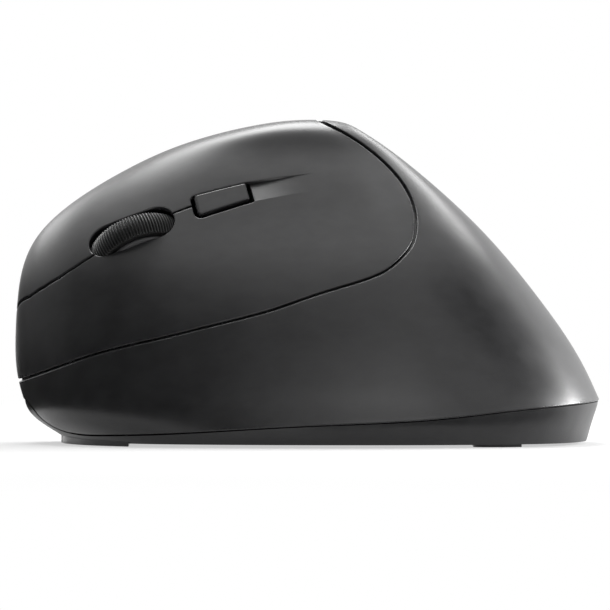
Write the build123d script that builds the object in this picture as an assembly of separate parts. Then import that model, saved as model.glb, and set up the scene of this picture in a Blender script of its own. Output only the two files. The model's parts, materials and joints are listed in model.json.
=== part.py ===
from build123d import *
import math
import os
import numpy as np

# Left-handed upright mouse. +Y is the front, +X the thumb side, +Z up, and the origin
# lies under the middle of the body, on the surface that the feet stand on.

# Overall size
length = 121.0
width = 76.0
height = 66.9
half_length = length / 2
half_width = width / 2

# Walls, gaps and cuts
shell_wall = 2.2
cover_wall = 2.0
seam_gap = 0.55
slit_gap = 0.5
root_gap = 0.3
seat_gap = 0.25
core_inset = 1.0
overrun = 90.0

# How finely the surface is worked out
outline_count = 32
level_count = 20
cap_share = 0.008
row_shares = np.linspace(0.0005, 0.999, 400)
look_turn_shares = np.linspace(0, 1, 241)
look_out_shares = np.linspace(0.005, 0.97, 241)
spot_steps = 12
near_count = 16
tiny = 1e-4
skin_bottom = -2.5

# Levels of the body: height, front, rear, finger side, thumb side, front and rear end of the
# middle line, widest place, and how far the outline leans to the waisted and the base form
level_shares = [
    (1.000, -0.013, -0.013, 0.289, 0.289, 0.289, 0.289, -0.013, 0.0, 0.0),
    (0.993, 0.109, -0.116, 0.211, 0.363, 0.300, 0.276, -0.013, 0.0, 0.0),
    (0.970, 0.248, -0.177, 0.132, 0.426, 0.311, 0.263, -0.025, 0.0, 0.0),
    (0.918, 0.445, -0.266, 0.050, 0.479, 0.316, 0.237, -0.050, 0.2, 0.0),
    (0.843, 0.626, -0.374, -0.078, 0.511, 0.316, 0.211, -0.066, 0.5, 0.0),
    (0.743, 0.805, -0.501, -0.250, 0.524, 0.303, 0.184, -0.099, 0.8, 0.0),
    (0.644, 0.921, -0.612, -0.421, 0.524, 0.276, 0.158, -0.132, 1.0, 0.0),
    (0.546, 0.974, -0.707, -0.584, 0.532, 0.250, 0.132, -0.149, 1.0, 0.0),
    (0.433, 0.994, -0.805, -0.732, 0.574, 0.224, 0.105, -0.149, 0.9, 0.1),
    (0.323, 1.000, -0.891, -0.839, 0.668, 0.197, 0.079, -0.132, 0.6, 0.4),
    (0.224, 0.995, -0.954, -0.913, 0.789, 0.171, 0.066, -0.116, 0.3, 0.7),
    (0.141, 0.973, -0.996, -0.963, 0.897, 0.158, 0.053, -0.099, 0.0, 1.0),
    (0.075, 0.929, -1.026, -0.988, 0.976, 0.158, 0.053, -0.099, 0.0, 1.0),
    (0.015, 0.826, -1.045, -1.008, 1.005, 0.158, 0.053, -0.099, 0.0, 1.0),
    (-0.120, 0.661, -1.061, -1.050, 1.050, 0.158, 0.053, -0.099, 0.0, 1.0),
]

# Outlines of a level, across and along, from the front round by the finger side
cap_shares = [
    (0, 1), (-0.5, 0.866), (-0.866, 0.5), (-1, 0), (-0.866, -0.5), (-0.5, -0.866),
    (0, -1), (0.5, -0.866), (0.866, -0.5), (1, 0), (0.866, 0.5), (0.5, 0.866),
]
waist_shares = [
    (0, 1), (-0.48, 0.87), (-0.83, 0.52), (-1, 0), (-0.93, -0.52), (-0.58, -0.88),
    (0, -1), (0.64, -0.90), (1.07, -0.55), (1.03, 0), (0.92, 0.50), (0.58, 0.88),
]
foot_shares = [
    (0, 1), (-0.50, 0.88), (-0.85, 0.54), (-1, 0), (-0.95, -0.54), (-0.63, -0.89),
    (0, -1), (0.62, -0.89), (0.97, -0.54), (1, 0), (0.82, 0.50), (0.50, 0.88),
]
columns = 12

# Seam of the finger cover and line of the base, along the length and up the height
seam_shares = [
    (0.060, 1.050), (-0.049, 0.996), (-0.139, 0.954), (-0.231, 0.895), (-0.302, 0.833),
    (-0.347, 0.773), (-0.367, 0.720), (-0.370, 0.683), (-0.359, 0.626), (-0.322, 0.581),
    (-0.273, 0.544), (-0.190, 0.511), (-0.023, 0.465), (0.093, 0.428), (0.298, 0.378),
    (0.504, 0.332), (0.709, 0.286), (0.982, 0.196), (1.100, 0.158),
]
ridge_seam_shares = [
    (-0.450, 0.190), (-0.300, 0.260), (-0.049, 0.330), (0.150, 0.372), (0.400, 0.385), (0.700, 0.360),
    (1.100, 0.300),
]
parting_shares = [
    (1.080, 0.165), (0.944, 0.117), (0.907, 0.079), (0.883, 0.063), (0.845, 0.046),
    (0.798, 0.036), (0.674, 0.034), (0.537, 0.039), (0.025, 0.067), (-0.455, 0.090),
    (-0.714, 0.115), (-0.861, 0.126), (-1.000, 0.135), (-1.100, 0.142),
]


def spline_table(knots, table, where):
    """Values at where of the smooth curve through a table that is given at the knots."""
    count = len(knots)
    step = np.diff(knots)
    bend = np.eye(count)
    pull = np.zeros((count,) + table.shape[1:])
    for i in range(1, count - 1):
        bend[i, i - 1:i + 2] = (step[i - 1], 2 * (step[i - 1] + step[i]), step[i])
        pull[i] = 6 * ((table[i + 1] - table[i]) / step[i] - (table[i] - table[i - 1]) / step[i - 1])
    curve = np.linalg.solve(bend, pull)
    i = np.clip(np.searchsorted(knots, where) - 1, 0, count - 2)
    span = step[i][:, None]
    ahead = (knots[i + 1] - where)[:, None] / span
    behind = 1 - ahead
    straight = ahead * table[i] + behind * table[i + 1]
    return straight + ((ahead**3 - ahead) * curve[i] + (behind**3 - behind) * curve[i + 1]) * span**2 / 6


def level_points():
    """Twelve points on each level of the body, front first."""
    points = np.zeros((len(level_shares), columns, 3))
    for k, row in enumerate(level_shares):
        up, front, rear, finger, thumb, spine_front, spine_rear, widest, waist, foot = row
        for m in range(columns):
            blend = [
                (1 - waist - foot) * cap_shares[m][i] + waist * waist_shares[m][i] + foot * foot_shares[m][i]
                for i in range(2)
            ]
            along = widest + abs(blend[1]) * ((front - widest) if blend[1] > 0 else (rear - widest))
            place = (along - rear) / (front - rear) if front > rear else 0
            middle = spine_rear + (spine_front - spine_rear) * place
            across = middle + abs(blend[0]) * ((finger - middle) if blend[0] < 0 else (thumb - middle))
            points[k, m] = (across * half_width, along * half_length, up * height)
    return points


def diameters():
    """The levels as six curves over the top, and the place of each level along them."""
    points = level_points()
    steps = np.linalg.norm(np.diff(points, axis=0), axis=2).mean(axis=1)
    places = np.concatenate([[0], np.cumsum(steps)]) / steps.sum()
    half = columns // 2
    table = np.zeros((columns, 2 * len(places) - 1, 3))
    for m in range(columns):
        table[m, len(places) - 1:] = points[:, m]
        table[m, :len(places)] = points[::-1, (m + half) % columns]
    return np.concatenate([-places[:0:-1], places]), table


level_places, level_table = diameters()


def skin(turn, out):
    """Points of the outer surface: turn runs round from the front, out from the top to the rim."""
    turn, out = np.broadcast_arrays(np.asarray(turn, float), np.asarray(out, float))
    along = spline_table(level_places, np.eye(len(level_places)), out.ravel())
    wrap = np.arange(-columns, 2 * columns)
    cyclic = np.zeros((len(wrap), columns))
    cyclic[np.arange(len(wrap)), wrap % columns] = 1
    round_about = spline_table(wrap / columns, cyclic, turn.ravel() % 1.0)
    found = np.einsum("km,ki,mic->kc", round_about, along, level_table)
    return found.reshape(turn.shape + (3,))


def normal(turn, out):
    """Outward direction of the surface."""
    out = np.maximum(out, 10 * tiny)
    round_step = skin(turn + tiny, out) - skin(turn - tiny, out)
    out_step = skin(turn, out + tiny) - skin(turn, out - tiny)
    across = np.cross(out_step, round_step)
    return across / np.linalg.norm(across, axis=-1, keepdims=True)


def ring(points):
    """Closed smooth line through points that are spaced evenly round it."""
    places = [k / len(points) for k in range(len(points) + 1)]
    return Wire([Edge.make_spline(points, parameters=places, periodic=True)])


def outline(column, up):
    """Closed smooth line through the points of a surface at one height."""
    points = []
    for row in column:
        across = np.interp(-up, -row[:, 2], row[:, 0])
        along = np.interp(-up, -row[:, 2], row[:, 1])
        points.append(Vector(across, along, up))
    return ring(points)


outline_turns = np.arange(outline_count)[:, None] / outline_count + 0.75
outer_grid = skin(outline_turns, row_shares)
outer_normals = normal(outline_turns, row_shares)


made_bodies = {}


def body(inset):
    """Everything inside the surface that lies inset below the skin."""
    if inset not in made_bodies:
        grid = outer_grid - inset * outer_normals
        way_down = grid[outline_count // 2]
        run = np.concatenate([[0], np.cumsum(np.linalg.norm(np.diff(way_down, axis=0), axis=1))])
        lowest = np.interp(-skin_bottom, -way_down[:, 2], run)
        levels = np.interp(np.linspace(cap_share * lowest, lowest, level_count), run, way_down[:, 2])
        made_bodies[inset] = Solid.make_loft([outline(grid, up) for up in levels[::-1]])
    return made_bodies[inset]


look_turn, look_out = np.meshgrid(look_turn_shares, look_out_shares, indexing="ij")
look_grid = skin(look_turn, look_out)


def spot(along, up):
    """Point and outward direction of the finger side at a place seen from that side."""
    miss = np.hypot(look_grid[..., 1] - along, look_grid[..., 2] - up)
    miss[look_grid[..., 0] > level_shares[0][3] * half_width] = length
    i, j = np.unravel_index(np.argmin(miss), miss.shape)
    best = np.array([look_turn[i, j], look_out[i, j]])
    for _ in range(spot_steps):
        here = skin(*best)
        round_slope = (skin(best[0] + tiny, best[1]) - here)[1:] / tiny
        out_slope = (skin(best[0], best[1] + tiny) - here)[1:] / tiny
        best = best - np.linalg.solve(np.array([round_slope, out_slope]).T, here[1:] - (along, up))
    return Vector(*skin(*best)), Vector(*normal(*best))


def local_plane(along, up, fall):
    """Plane on the finger side: y forward down the slope by fall degrees in side view, z outward."""
    point, outward = spot(along, up)
    drop = math.radians(fall)
    forward_x = (outward.Z * math.sin(drop) - outward.Y * math.cos(drop)) / outward.X
    forward = Vector(forward_x, math.cos(drop), -math.sin(drop)).normalized()
    return Plane(origin=point, x_dir=forward.cross(outward), z_dir=outward)


def skin_height(plane, x, y):
    """Height of the outer surface over a place on a plane."""
    points = look_grid.reshape(-1, 3) - np.array(tuple(plane.origin))
    axes = np.array([tuple(plane.x_dir), tuple(plane.y_dir), tuple(plane.z_dir)])
    found = points @ axes.T
    found = found[found[:, 2] > -half_width]
    near = np.argsort(np.hypot(found[:, 0] - x, found[:, 1] - y))[:near_count]
    rows = np.column_stack([np.ones(len(near)), found[near, :2]])
    fit = np.linalg.lstsq(rows, found[near, 2], rcond=None)[0]
    return float(fit @ (1, x, y))


def moved(points, shift):
    """A line of flat points moved to its right by shift."""
    result = []
    for i, point in enumerate(points):
        ahead = points[min(i + 1, len(points) - 1)] - points[max(i - 1, 0)]
        result.append(point + Vector(ahead.Y, -ahead.X).normalized() * shift)
    return result


def prism(points, closing, plane):
    """Long solid square to a plane, bounded by a smooth line and straight lines round closing."""
    border = Polyline(points[-1], *closing, points[0])
    return extrude(plane * make_face([Spline(*points), border]), amount=overrun, both=True)


def plate(plane, x0, x1, y0, y1, z0, z1):
    """Block between two corners of a plane's own frame."""
    middle = Pos((x0 + x1) / 2, (y0 + y1) / 2, (z0 + z1) / 2)
    return plane * middle * Box(x1 - x0, y1 - y0, z1 - z0)


def rod(plane, x, y, z0, z1, radius):
    """Round bar square to a plane."""
    return plane * Pos(x, y, (z0 + z1) / 2) * Cylinder(radius, z1 - z0)


def whole(shape):
    """The largest solid of a shape, without crumbs that a cut leaves."""
    return max(shape.solids(), key=lambda piece: piece.volume)


def save(name, *solids):
    """Write one sub-part."""
    shape = solids[0] if len(solids) == 1 else Compound(children=list(solids))
    export_step(shape, f"parts/{name}.step")


os.makedirs("parts", exist_ok=True)
ground = Plane.XY
side_view = Plane(origin=(0, 0, 0), x_dir=(0, 1, 0), z_dir=(1, 0, 0))


# Line between the body and the base
parting_line = [Vector(y * half_length, z * height) for y, z in parting_shares]


def under_parting(drop):
    """Everything lower than drop below the line of the base."""
    line = [point - Vector(0, drop) for point in parting_line]
    return prism(line, [(line[-1].X, -overrun), (line[0].X, -overrun)], side_view)


# Finger cover: seam seen from the side, and along the ridge seen from above
seam_line = [Vector(y * half_length, z * height) for y, z in seam_shares]
ridge_line = [Vector(x * half_width, y * half_length) for y, x in ridge_seam_shares]


def cover_space(gap):
    """Column that holds the finger cover, wider all round by gap."""
    side_line = moved(seam_line, gap)
    over = overrun + gap
    side = prism(side_line, [(over, side_line[-1].Y), (over, over), (side_line[0].X, over)], side_view)
    top_line = moved(ridge_line, gap)
    above = prism(top_line, [(-over, top_line[-1].Y), (-over, top_line[0].Y)], ground)
    return side & above


# Wheel and what carries it, in the frame of the key plane
wheel_along = 36.2
wheel_up = 43.3
wheel_fall = 22.0
key_plane = local_plane(wheel_along, wheel_up, wheel_fall)
wheel_radius = 11.9
wheel_width = 6.4
wheel_rise = 2.9
wheel_depth = wheel_radius - wheel_rise
tyre_depth = 2.2
shoulder = 1.2
wheel_gap = 0.6
hub_gap = 0.05
axle_radius = 1.0
running_gap = 0.05
fit_gap = 0.02
slot_length = 19.1
slot_width = 9.0
slot_shift = 0.85
slot_round = 3.2
press_travel = 0.5

# Board under the keys, and the frame that carries it
board_depth = 16.0
board_wall = 1.6
deck_wall = 2.0
board_low_x = -15.0
board_high_x = 11.0
board_low_y = -27.0
board_high_y = 17.0
board_rear_x = 5.5
board_step_y = -13.0
deck_low_y = -38.0
side_gap = 0.4
fork_wall = 1.4
fork_half = 5.0
fork_gap = 0.8
encoder_width = 3.5
encoder_half = 4.2

# Keys
slit_shares = [
    (0.988, 0.430), (0.948, 0.454), (0.897, 0.485), (0.845, 0.515), (0.742, 0.577), (0.453, 0.716),
    (0.400, 0.734), (0.192, 0.780),
]
root_y = -29.0
key_post_radius = 1.7
index_post_x = 9.6
middle_post_x = -11.5
key_post_y = 10.5
switch_width = 5.8
switch_length = 10.0
switch_height = 6.4
plunger_rise = 0.6
plunger_radius = 0.9
plunger_sink = 1.5
touch_gap = 0.1

# Speed button behind the wheel
speed_along = 18.0
speed_up = 50.35
speed_fall = 14.0
speed_plane = local_plane(speed_along, speed_up, speed_fall)
speed_slot_length = 12.8
speed_slot_width = 7.2
speed_slot_round = 1.0
speed_length = 11.9
speed_width = 6.0
speed_round = 0.7
speed_rise = 0.2
speed_wall = 2.4
stem_radius = 1.4
tact_size = 4.4
tact_height = 3.6
groove_length = 15.5
groove_width = 2.9
groove_depth = 0.8
groove_tip_share = 0.15

# Thumb buttons
thumb_along = 4.0
thumb_up = 46.4
thumb_turn = -5.0
thumb_length = 35.0
thumb_height = 6.6
thumb_round = 2.9
thumb_rise = 0.9
thumb_gap = 0.35
thumb_split = 0.4
thumb_board_x = 10.5
thumb_board_low_y = -14.0
thumb_board_high_y = 19.0
thumb_board_low_z = 40.5
thumb_board_high_z = 52.0
rib_reach = 6.5
rib_low_y = -10.0
rib_high_y = 2.0
lamp_along = 25.0
lamp_up = 41.0
lamp_radius = 0.9

# Base
foot_rise = 0.6
base_floor = 2.4
base_wall = 1.8
base_taper_share = 0.3
base_gap = 0.15
base_level_shares = [0.040, 0.080, 0.130, 0.190]
floor_top = foot_rise + base_floor

# Battery, its tray and the receiver that is stored beside it
cell_radius = 7.15
cell_length = 49.2
cell_x = 16.0
cell_low_y = -38.0
nub_radius = 2.7
nub_length = 1.2
contact_wall = 0.4
contact_gap = 1.0
tray_wall = 1.3
bay_gap = 0.35
receiver_length = 18.7
receiver_width = 14.4
receiver_height = 6.1
plug_length = 12.0
plug_width = 12.0
plug_height = 4.5
receiver_shift = 1.3
tab_width = 7.0
tab_inset = 7.4
tab_low_x = 3.8
door_low_x = 6.0
door_wall = 1.4
door_gap = 0.2
door_ledge = 1.0
tongue = 0.7
tongue_wall = 0.8
tongue_rise = 0.5
cell_z = foot_rise + door_wall + bay_gap + cell_radius
cell_high_y = cell_low_y + cell_length
bay_half = cell_radius + bay_gap
bay_low_y = cell_low_y - contact_gap - contact_wall
bay_high_y = cell_high_y + nub_length + contact_wall
receiver_x = cell_x - receiver_shift
receiver_low_y = bay_high_y + tray_wall + bay_gap
receiver_high_y = receiver_low_y + receiver_length
box_high_y = receiver_high_y + bay_gap
door_low_y = bay_low_y - door_ledge
door_high_y = box_high_y + door_ledge

# Main board and sensor
main_low_x = -28.0
main_high_x = 3.5
main_low_y = -42.0
main_high_y = 8.0
main_lift = 3.6
sensor_x = -11.0
sensor_y = -1.0
sensor_size = 9.0
sensor_height = 2.6
lens_length = 16.0
lens_width = 11.0
window_radius = 3.0
chip_x = -14.0
chip_y = -30.0
chip_size = 6.0
chip_height = 0.9
slider_x = -20.0
slider_y = -20.0
slider_length = 5.6
slider_width = 3.6
slider_travel = 3.0
slider_gap = 0.3
flange = 1.0
flange_wall = 0.7
recess = 0.3
pair_x = -20.0
pair_y = -6.0
pair_radius = 1.9

# Screws
screw_place_shares = [
    (-0.658, 0.397, -1, 0), (-0.474, -0.793, 0, -1), (0.421, -0.793, 0, -1), (0.395, 0.694, 1, 0),
]
boss_radius = 3.0
boss_top = 7.0
post_top = 17.0
web_wall = 1.8
screw_radius = 1.2
head_radius = 2.2
head_height = 1.4
screw_length = 12.0
board_screw_radius = 0.9
board_screw_head = 1.7
board_screw_length = 3.2
standoff_radius = 2.0
leg_place_shares = [(-0.105, 0.628), (0.184, 0.727), (0.092, 0.223), (-0.105, 0.182)]
leg_radius = 2.3

# Feet
front_foot_y = 36.7
front_foot_width = 8.0
front_foot_top = 1.8
front_foot_inset = 0.5
rear_foot_low_x = -29.0
rear_foot_high_x = 2.0
rear_foot_low_y = -44.0
rear_foot_high_y = -34.0
thumb_foot_low_x = 9.0
thumb_foot_high_x = 27.0
thumb_foot_low_y = -54.0
thumb_foot_high_y = -45.0
foot_inset = 2.2
foot_round = 3.0

# Planes of the wheel and the cell, and what follows from the sizes above
wheel_plane = Plane(
    origin=key_plane.from_local_coords(Vector(0, 0, -wheel_depth)),
    x_dir=key_plane.y_dir, z_dir=key_plane.x_dir,
)
cell_plane = Plane(origin=(cell_x, 0, cell_z), x_dir=(1, 0, 0), z_dir=(0, 1, 0))
speed_local = key_plane.to_local_coords(speed_plane.origin)
speed_place = (speed_local.X, speed_local.Y)
hub_radius = wheel_radius - tyre_depth
fork_inner = wheel_width / 2 + fork_gap
fork_outer = fork_inner + fork_wall
fork_top = -wheel_depth + fork_half / 2
bridge_top = -wheel_depth - wheel_radius - fork_gap
board_top = -board_depth
deck_top = board_top - board_wall
tact_top = tact_height + plunger_rise
switch_top = board_top + switch_height + plunger_rise
wheel_tact_x = board_high_x - tact_size / 2
cover_post_y = deck_low_y + 2 * leg_radius
thumb_face = thumb_board_x + board_wall
door_top = foot_rise + door_wall
receiver_low_z = door_top + bay_gap
half_contact = bay_half - bay_gap
main_low_z = floor_top + main_lift
main_top = main_low_z + board_wall
main_shank_low = main_low_z - board_screw_length
power_switch_low = main_low_z - board_wall
head_low = foot_rise + recess
main_posts = [
    (x, y) for x in (main_low_x + standoff_radius, main_high_x - standoff_radius)
    for y in (main_low_y + standoff_radius, main_high_y - standoff_radius)
]
screw_places = [(x * half_width, y * half_length, out_x, out_y) for x, y, out_x, out_y in screw_place_shares]
leg_places = [(x * half_width, y * half_length) for x, y in leg_place_shares]


def key_slot():
    """Slot of the wheel between the keys."""
    shape = Pos(slot_shift, 0) * RectangleRounded(slot_width, slot_length, slot_round)
    return extrude(key_plane * shape, amount=2 * wheel_radius, both=True)


def speed_slot():
    """Slot of the speed button."""
    shape = RectangleRounded(speed_slot_width, speed_slot_length, speed_slot_round)
    return extrude(speed_plane * shape, amount=2 * speed_slot_length, both=True)


def tail_groove():
    """Groove that runs out behind the speed button, deepest at its upper edge."""
    back = -speed_slot_length / 2
    over = groove_depth
    high = speed_slot_width / 2

    def section(y, size_share):
        low = high - groove_width * size_share
        deep = skin_height(speed_plane, high, y) - groove_depth * size_share
        top = deep + groove_depth * size_share + over
        points = [(high, deep), (high, top), (low, top), (low, deep + groove_depth * size_share)]
        flat = Plane(origin=speed_plane.from_local_coords(Vector(0, y, 0)), x_dir=speed_plane.x_dir,
                     z_dir=-speed_plane.y_dir)
        return flat * make_face(Polyline(*points, close=True))

    return loft([section(back + over, 1), section(back - groove_length, groove_tip_share)], ruled=True)


def key_points():
    """The slit between the keys, as places on the key plane, front first."""
    found = []
    for along, up in slit_shares:
        point = key_plane.to_local_coords(spot(along * half_length, up * height)[0])
        found.append((point.X, point.Y))
    return found


def key_area(side):
    """Column over one key: side is 1 for the index key and -1 for the middle key."""
    points = key_points()
    slope = (points[0][0] - points[1][0]) / (points[0][1] - points[1][1])
    front = (points[0][0] + slope * (overrun - points[0][1]), overrun)
    line = [front, *points, (points[-1][0], root_y)]
    shifted = [(x + side * slit_gap / 2, y) for x, y in line]
    wall = side * overrun
    face = make_face(Polyline(*shifted, (wall, root_y), (wall, overrun), close=True))
    return extrude(key_plane * face, amount=overrun, both=True)


cover_block = (body(0.0) - body(cover_wall)) & cover_space(-seam_gap / 2)
cover_block = cover_block - tail_groove()
core = body(core_inset)


def finger_key(side, place):
    """One key: its skin, and the post that reaches its switch."""
    key = whole((cover_block & key_area(side)) - key_slot() - speed_slot())
    key = whole(key - wheel_plane * Cylinder(wheel_radius + wheel_gap, slot_width))
    post = rod(key_plane, *place, switch_top + touch_gap, wheel_radius, key_post_radius) & core
    return whole(key + post)


def finger_cover():
    """Rear of the cover, with two posts down to the frame."""
    behind = plate(key_plane, -overrun, overrun, -2 * overrun, root_y - root_gap, -overrun, overrun)
    cover = whole(cover_block & behind)
    for x in (board_low_x / 2, board_rear_x / 2):
        cover = cover + (rod(key_plane, x, cover_post_y, deck_top, wheel_radius, leg_radius) & core)
    return whole(cover)


def main_shell():
    """Palm and thumb shell, with four short posts for the screws."""
    wall = body(0.0) - body(shell_wall) - cover_space(seam_gap / 2)
    shell = whole(wall - under_parting(0.0) - thumb_bar(thumb_gap) - lamp_hole(running_gap))
    for x, y, out_x, out_y in screw_places:
        reach_x, side_x = out_x * overrun, abs(out_y) * web_wall / 2
        reach_y, side_y = out_y * overrun, abs(out_x) * web_wall / 2
        web = plate(
            ground, x + min(0, reach_x) - side_x, x + max(0, reach_x) + side_x,
            y + min(0, reach_y) - side_y, y + max(0, reach_y) + side_y, boss_top + web_wall, post_top,
        )
        post = rod(ground, x, y, boss_top, post_top, boss_radius) + web
        post = (post & core) - rod(ground, x, y, 0, boss_top + screw_length, screw_radius + running_gap)
        shell = shell + post
    return whole(shell)


def thumb_bar(gap):
    """Column through the wall for the pair of thumb buttons."""
    shape = RectangleRounded(thumb_length + 2 * gap, thumb_height + 2 * gap, thumb_round + gap)
    return extrude(side_view * Pos(thumb_along, thumb_up) * Rot(0, 0, thumb_turn) * shape, amount=overrun)


def lamp_hole(gap):
    """Hole through the wall for the status lamp."""
    column = Pos(lamp_along, lamp_up) * Circle(lamp_radius + gap)
    return extrude(side_view * column, amount=overrun)


def thumb_button(side):
    """Front or rear thumb button, with its post."""
    wall = (body(-thumb_rise) - body(shell_wall)) & thumb_bar(0.0)
    middle = side_view * Pos(thumb_along, thumb_up) * Rot(0, 0, thumb_turn)
    half = middle * Pos(side * (overrun + thumb_split) / 2, 0, 0) * Box(overrun, overrun, 2 * overrun)
    button = whole(wall & half)
    y, z = thumb_post(side)
    start = thumb_face + tact_top + touch_gap
    post = rod(side_view, y, z, start, overrun, stem_radius) & core
    return whole(button + post)


def thumb_post(side):
    """Place of a thumb button's post, along and up."""
    turn = math.radians(thumb_turn)
    reach = side * thumb_length / 4
    return thumb_along + reach * math.cos(turn), thumb_up + reach * math.sin(turn)


def barrel(radius, wide, corner):
    """Round drum about the wheel's axle."""
    drum = Cylinder(radius, wide)
    return wheel_plane * fillet(drum.edges(), corner)


def wheel_tyre():
    """Rubber tyre with round shoulders."""
    tyre = barrel(wheel_radius, wheel_width, shoulder)
    return whole(tyre - wheel_plane * Cylinder(hub_radius, 2 * wheel_width))


def wheel_hub():
    """Drum inside the tyre."""
    drum = barrel(hub_radius - hub_gap, wheel_width, shoulder / 2)
    return whole(drum - wheel_plane * Cylinder(axle_radius + fit_gap, 2 * wheel_width))


def wheel_axle():
    """Steel pin through the hub, both fork cheeks and the encoder."""
    low = -fork_outer - encoder_width
    middle = (low + fork_outer) / 2
    return wheel_plane * Pos(0, 0, middle) * Cylinder(axle_radius, fork_outer - low)


def axle_hole():
    """Hole that the axle turns in."""
    return wheel_plane * Cylinder(axle_radius + running_gap, overrun)


def wheel_fork():
    """Two cheeks, the bridge under the wheel and the arm over the wheel switch."""
    bridge_low = bridge_top - fork_wall
    fork = plate(key_plane, -fork_outer, fork_outer, -fork_half, fork_half, bridge_low, bridge_top)
    for side in (-1, 1):
        edges = sorted((side * fork_inner, side * fork_outer))
        fork = fork + plate(key_plane, *edges, -fork_half, fork_half, bridge_top, fork_top)
    arm_low = board_top + tact_top + touch_gap
    arm_end = wheel_tact_x + plunger_radius
    fork = fork + plate(key_plane, fork_inner, arm_end, -fork_wall, fork_wall, arm_low, arm_low + fork_wall)
    return whole(fork - axle_hole())


def wheel_encoder():
    """Block on the fork that reads the turning of the axle."""
    block = plate(
        key_plane, -fork_outer - encoder_width, -fork_outer, -encoder_half, encoder_half,
        -wheel_depth - encoder_half, -wheel_depth + encoder_half - seam_gap,
    )
    return whole(block - axle_hole())


def wheel_well():
    """Cut through the board and the deck for the wheel and the fork."""
    reach = math.sqrt(wheel_radius**2 - (board_depth - wheel_depth) ** 2) + fork_gap
    wide = wheel_width / 2 + side_gap
    well = plate(key_plane, -wide, wide, -reach, reach, -overrun, 0)
    beside = fork_outer + encoder_width + side_gap
    half = fork_half + side_gap
    return well + plate(key_plane, -beside, fork_outer + side_gap, -half, half, -overrun, 0)


def rear_corner():
    """Corner cut from the board and the deck, where the thumb board stands."""
    return plate(key_plane, board_rear_x, overrun, -overrun, board_step_y, -overrun, 0)


def angled_board():
    """Circuit board under the keys."""
    board = plate(key_plane, board_low_x, board_high_x, board_low_y, board_high_y, deck_top, board_top)
    return whole(board - wheel_well() - rear_corner())


def inner_frame():
    """Sloping deck on four legs, with the rib that holds the thumb board."""
    deck_low = deck_top - deck_wall
    deck = plate(key_plane, board_low_x, board_high_x, deck_low_y, board_high_y, deck_low, deck_top)
    deck = deck - wheel_well() - rear_corner()
    below = plate(key_plane, -overrun, overrun, -overrun, overrun, -2 * overrun, deck_top)
    frame = deck
    for x, y in leg_places:
        frame = frame + (rod(ground, x, y, floor_top, height, leg_radius) & below)
    rib_low_z = thumb_board_low_z + board_wall
    rib = plate(ground, thumb_board_x - rib_reach, thumb_board_x, rib_low_y, rib_high_y, rib_low_z, height)
    return whole(frame + (rib & below))


def switch_body(plane, x, y, z, wide, long, tall):
    """Switch housing with the hole of its plunger."""
    block = plate(plane, x - wide / 2, x + wide / 2, y - long / 2, y + long / 2, z, z + tall)
    top = z + tall
    hole = rod(plane, x, y, top - plunger_sink - press_travel, top + plunger_sink, plunger_radius + touch_gap)
    return whole(block - hole)


def plunger(plane, x, y, z, tall):
    """Plunger of a switch."""
    return rod(plane, x, y, z + tall - plunger_sink, z + tall + plunger_rise, plunger_radius)


def speed_button():
    """Button behind the wheel, with a stem square to the board."""
    shape = speed_plane * RectangleRounded(speed_width, speed_length, speed_round)
    column = extrude(shape, amount=2 * speed_length, both=True)
    cap = whole((body(-speed_rise) - body(speed_wall)) & column)
    stem = rod(key_plane, *speed_place, board_top + tact_top + touch_gap, wheel_radius, stem_radius) & core
    return whole(cap + stem)


def thumb_board():
    """Upright circuit board behind the thumb buttons."""
    return plate(ground, thumb_board_x, thumb_face, thumb_board_low_y, thumb_board_high_y,
                 thumb_board_low_z, thumb_board_high_z)


parting_along = np.array([y for y, z in parting_shares])[::-1] * half_length
parting_up = np.array([z for y, z in parting_shares])[::-1] * height


def base_outline(up, inset):
    """Closed line round the base at one height: it leans in below the body's edge."""
    points = []
    for row, side in zip(outer_grid, outer_normals):
        over = row[:, 2] - np.interp(row[:, 1], parting_along, parting_up)
        edge = np.array([np.interp(0, -over, row[:, i]) for i in range(3)])
        outward = np.array([np.interp(0, -over, side[:, i]) for i in range(2)])
        outward = outward / np.linalg.norm(outward)
        level = np.array([np.interp(-up, -row[:, 2], row[:, i]) for i in range(2)])
        lean = base_taper_share * (edge[2] - up)
        tuck = max(lean, float((edge[:2] - level) @ outward))
        place = edge[:2] - outward * (tuck + base_gap + inset)
        points.append(Vector(*place, up))
    return ring(points)


def base_tub(low, inset):
    """Solid inside the base's side, from a height up."""
    above = [share * height for share in base_level_shares if share * height > low + base_wall / 2]
    return Solid.make_loft([base_outline(up, inset) for up in [low, *above]])


base_block = base_tub(foot_rise, 0.0)


def door_opening():
    """Cut in the base for the battery door, its tongues and the bay over it."""
    cut = plate(ground, door_low_x - door_gap, overrun, door_low_y - door_gap, door_high_y + door_gap,
                -foot_rise, door_top + door_gap)
    low = door_low_y - tongue - door_gap
    high = door_high_y + tongue + door_gap
    start = foot_rise + tongue_rise
    groove_top = start + tongue_wall + door_gap
    cut = cut + plate(ground, door_low_x - door_gap, overrun, low, high, start - door_gap, groove_top)
    bay = plate(ground, door_low_x + door_ledge, overrun, door_low_y + door_ledge, door_high_y - door_ledge,
                door_top, floor_top + bay_gap)
    return cut + (bay & base_tub(foot_rise, base_wall))


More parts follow.
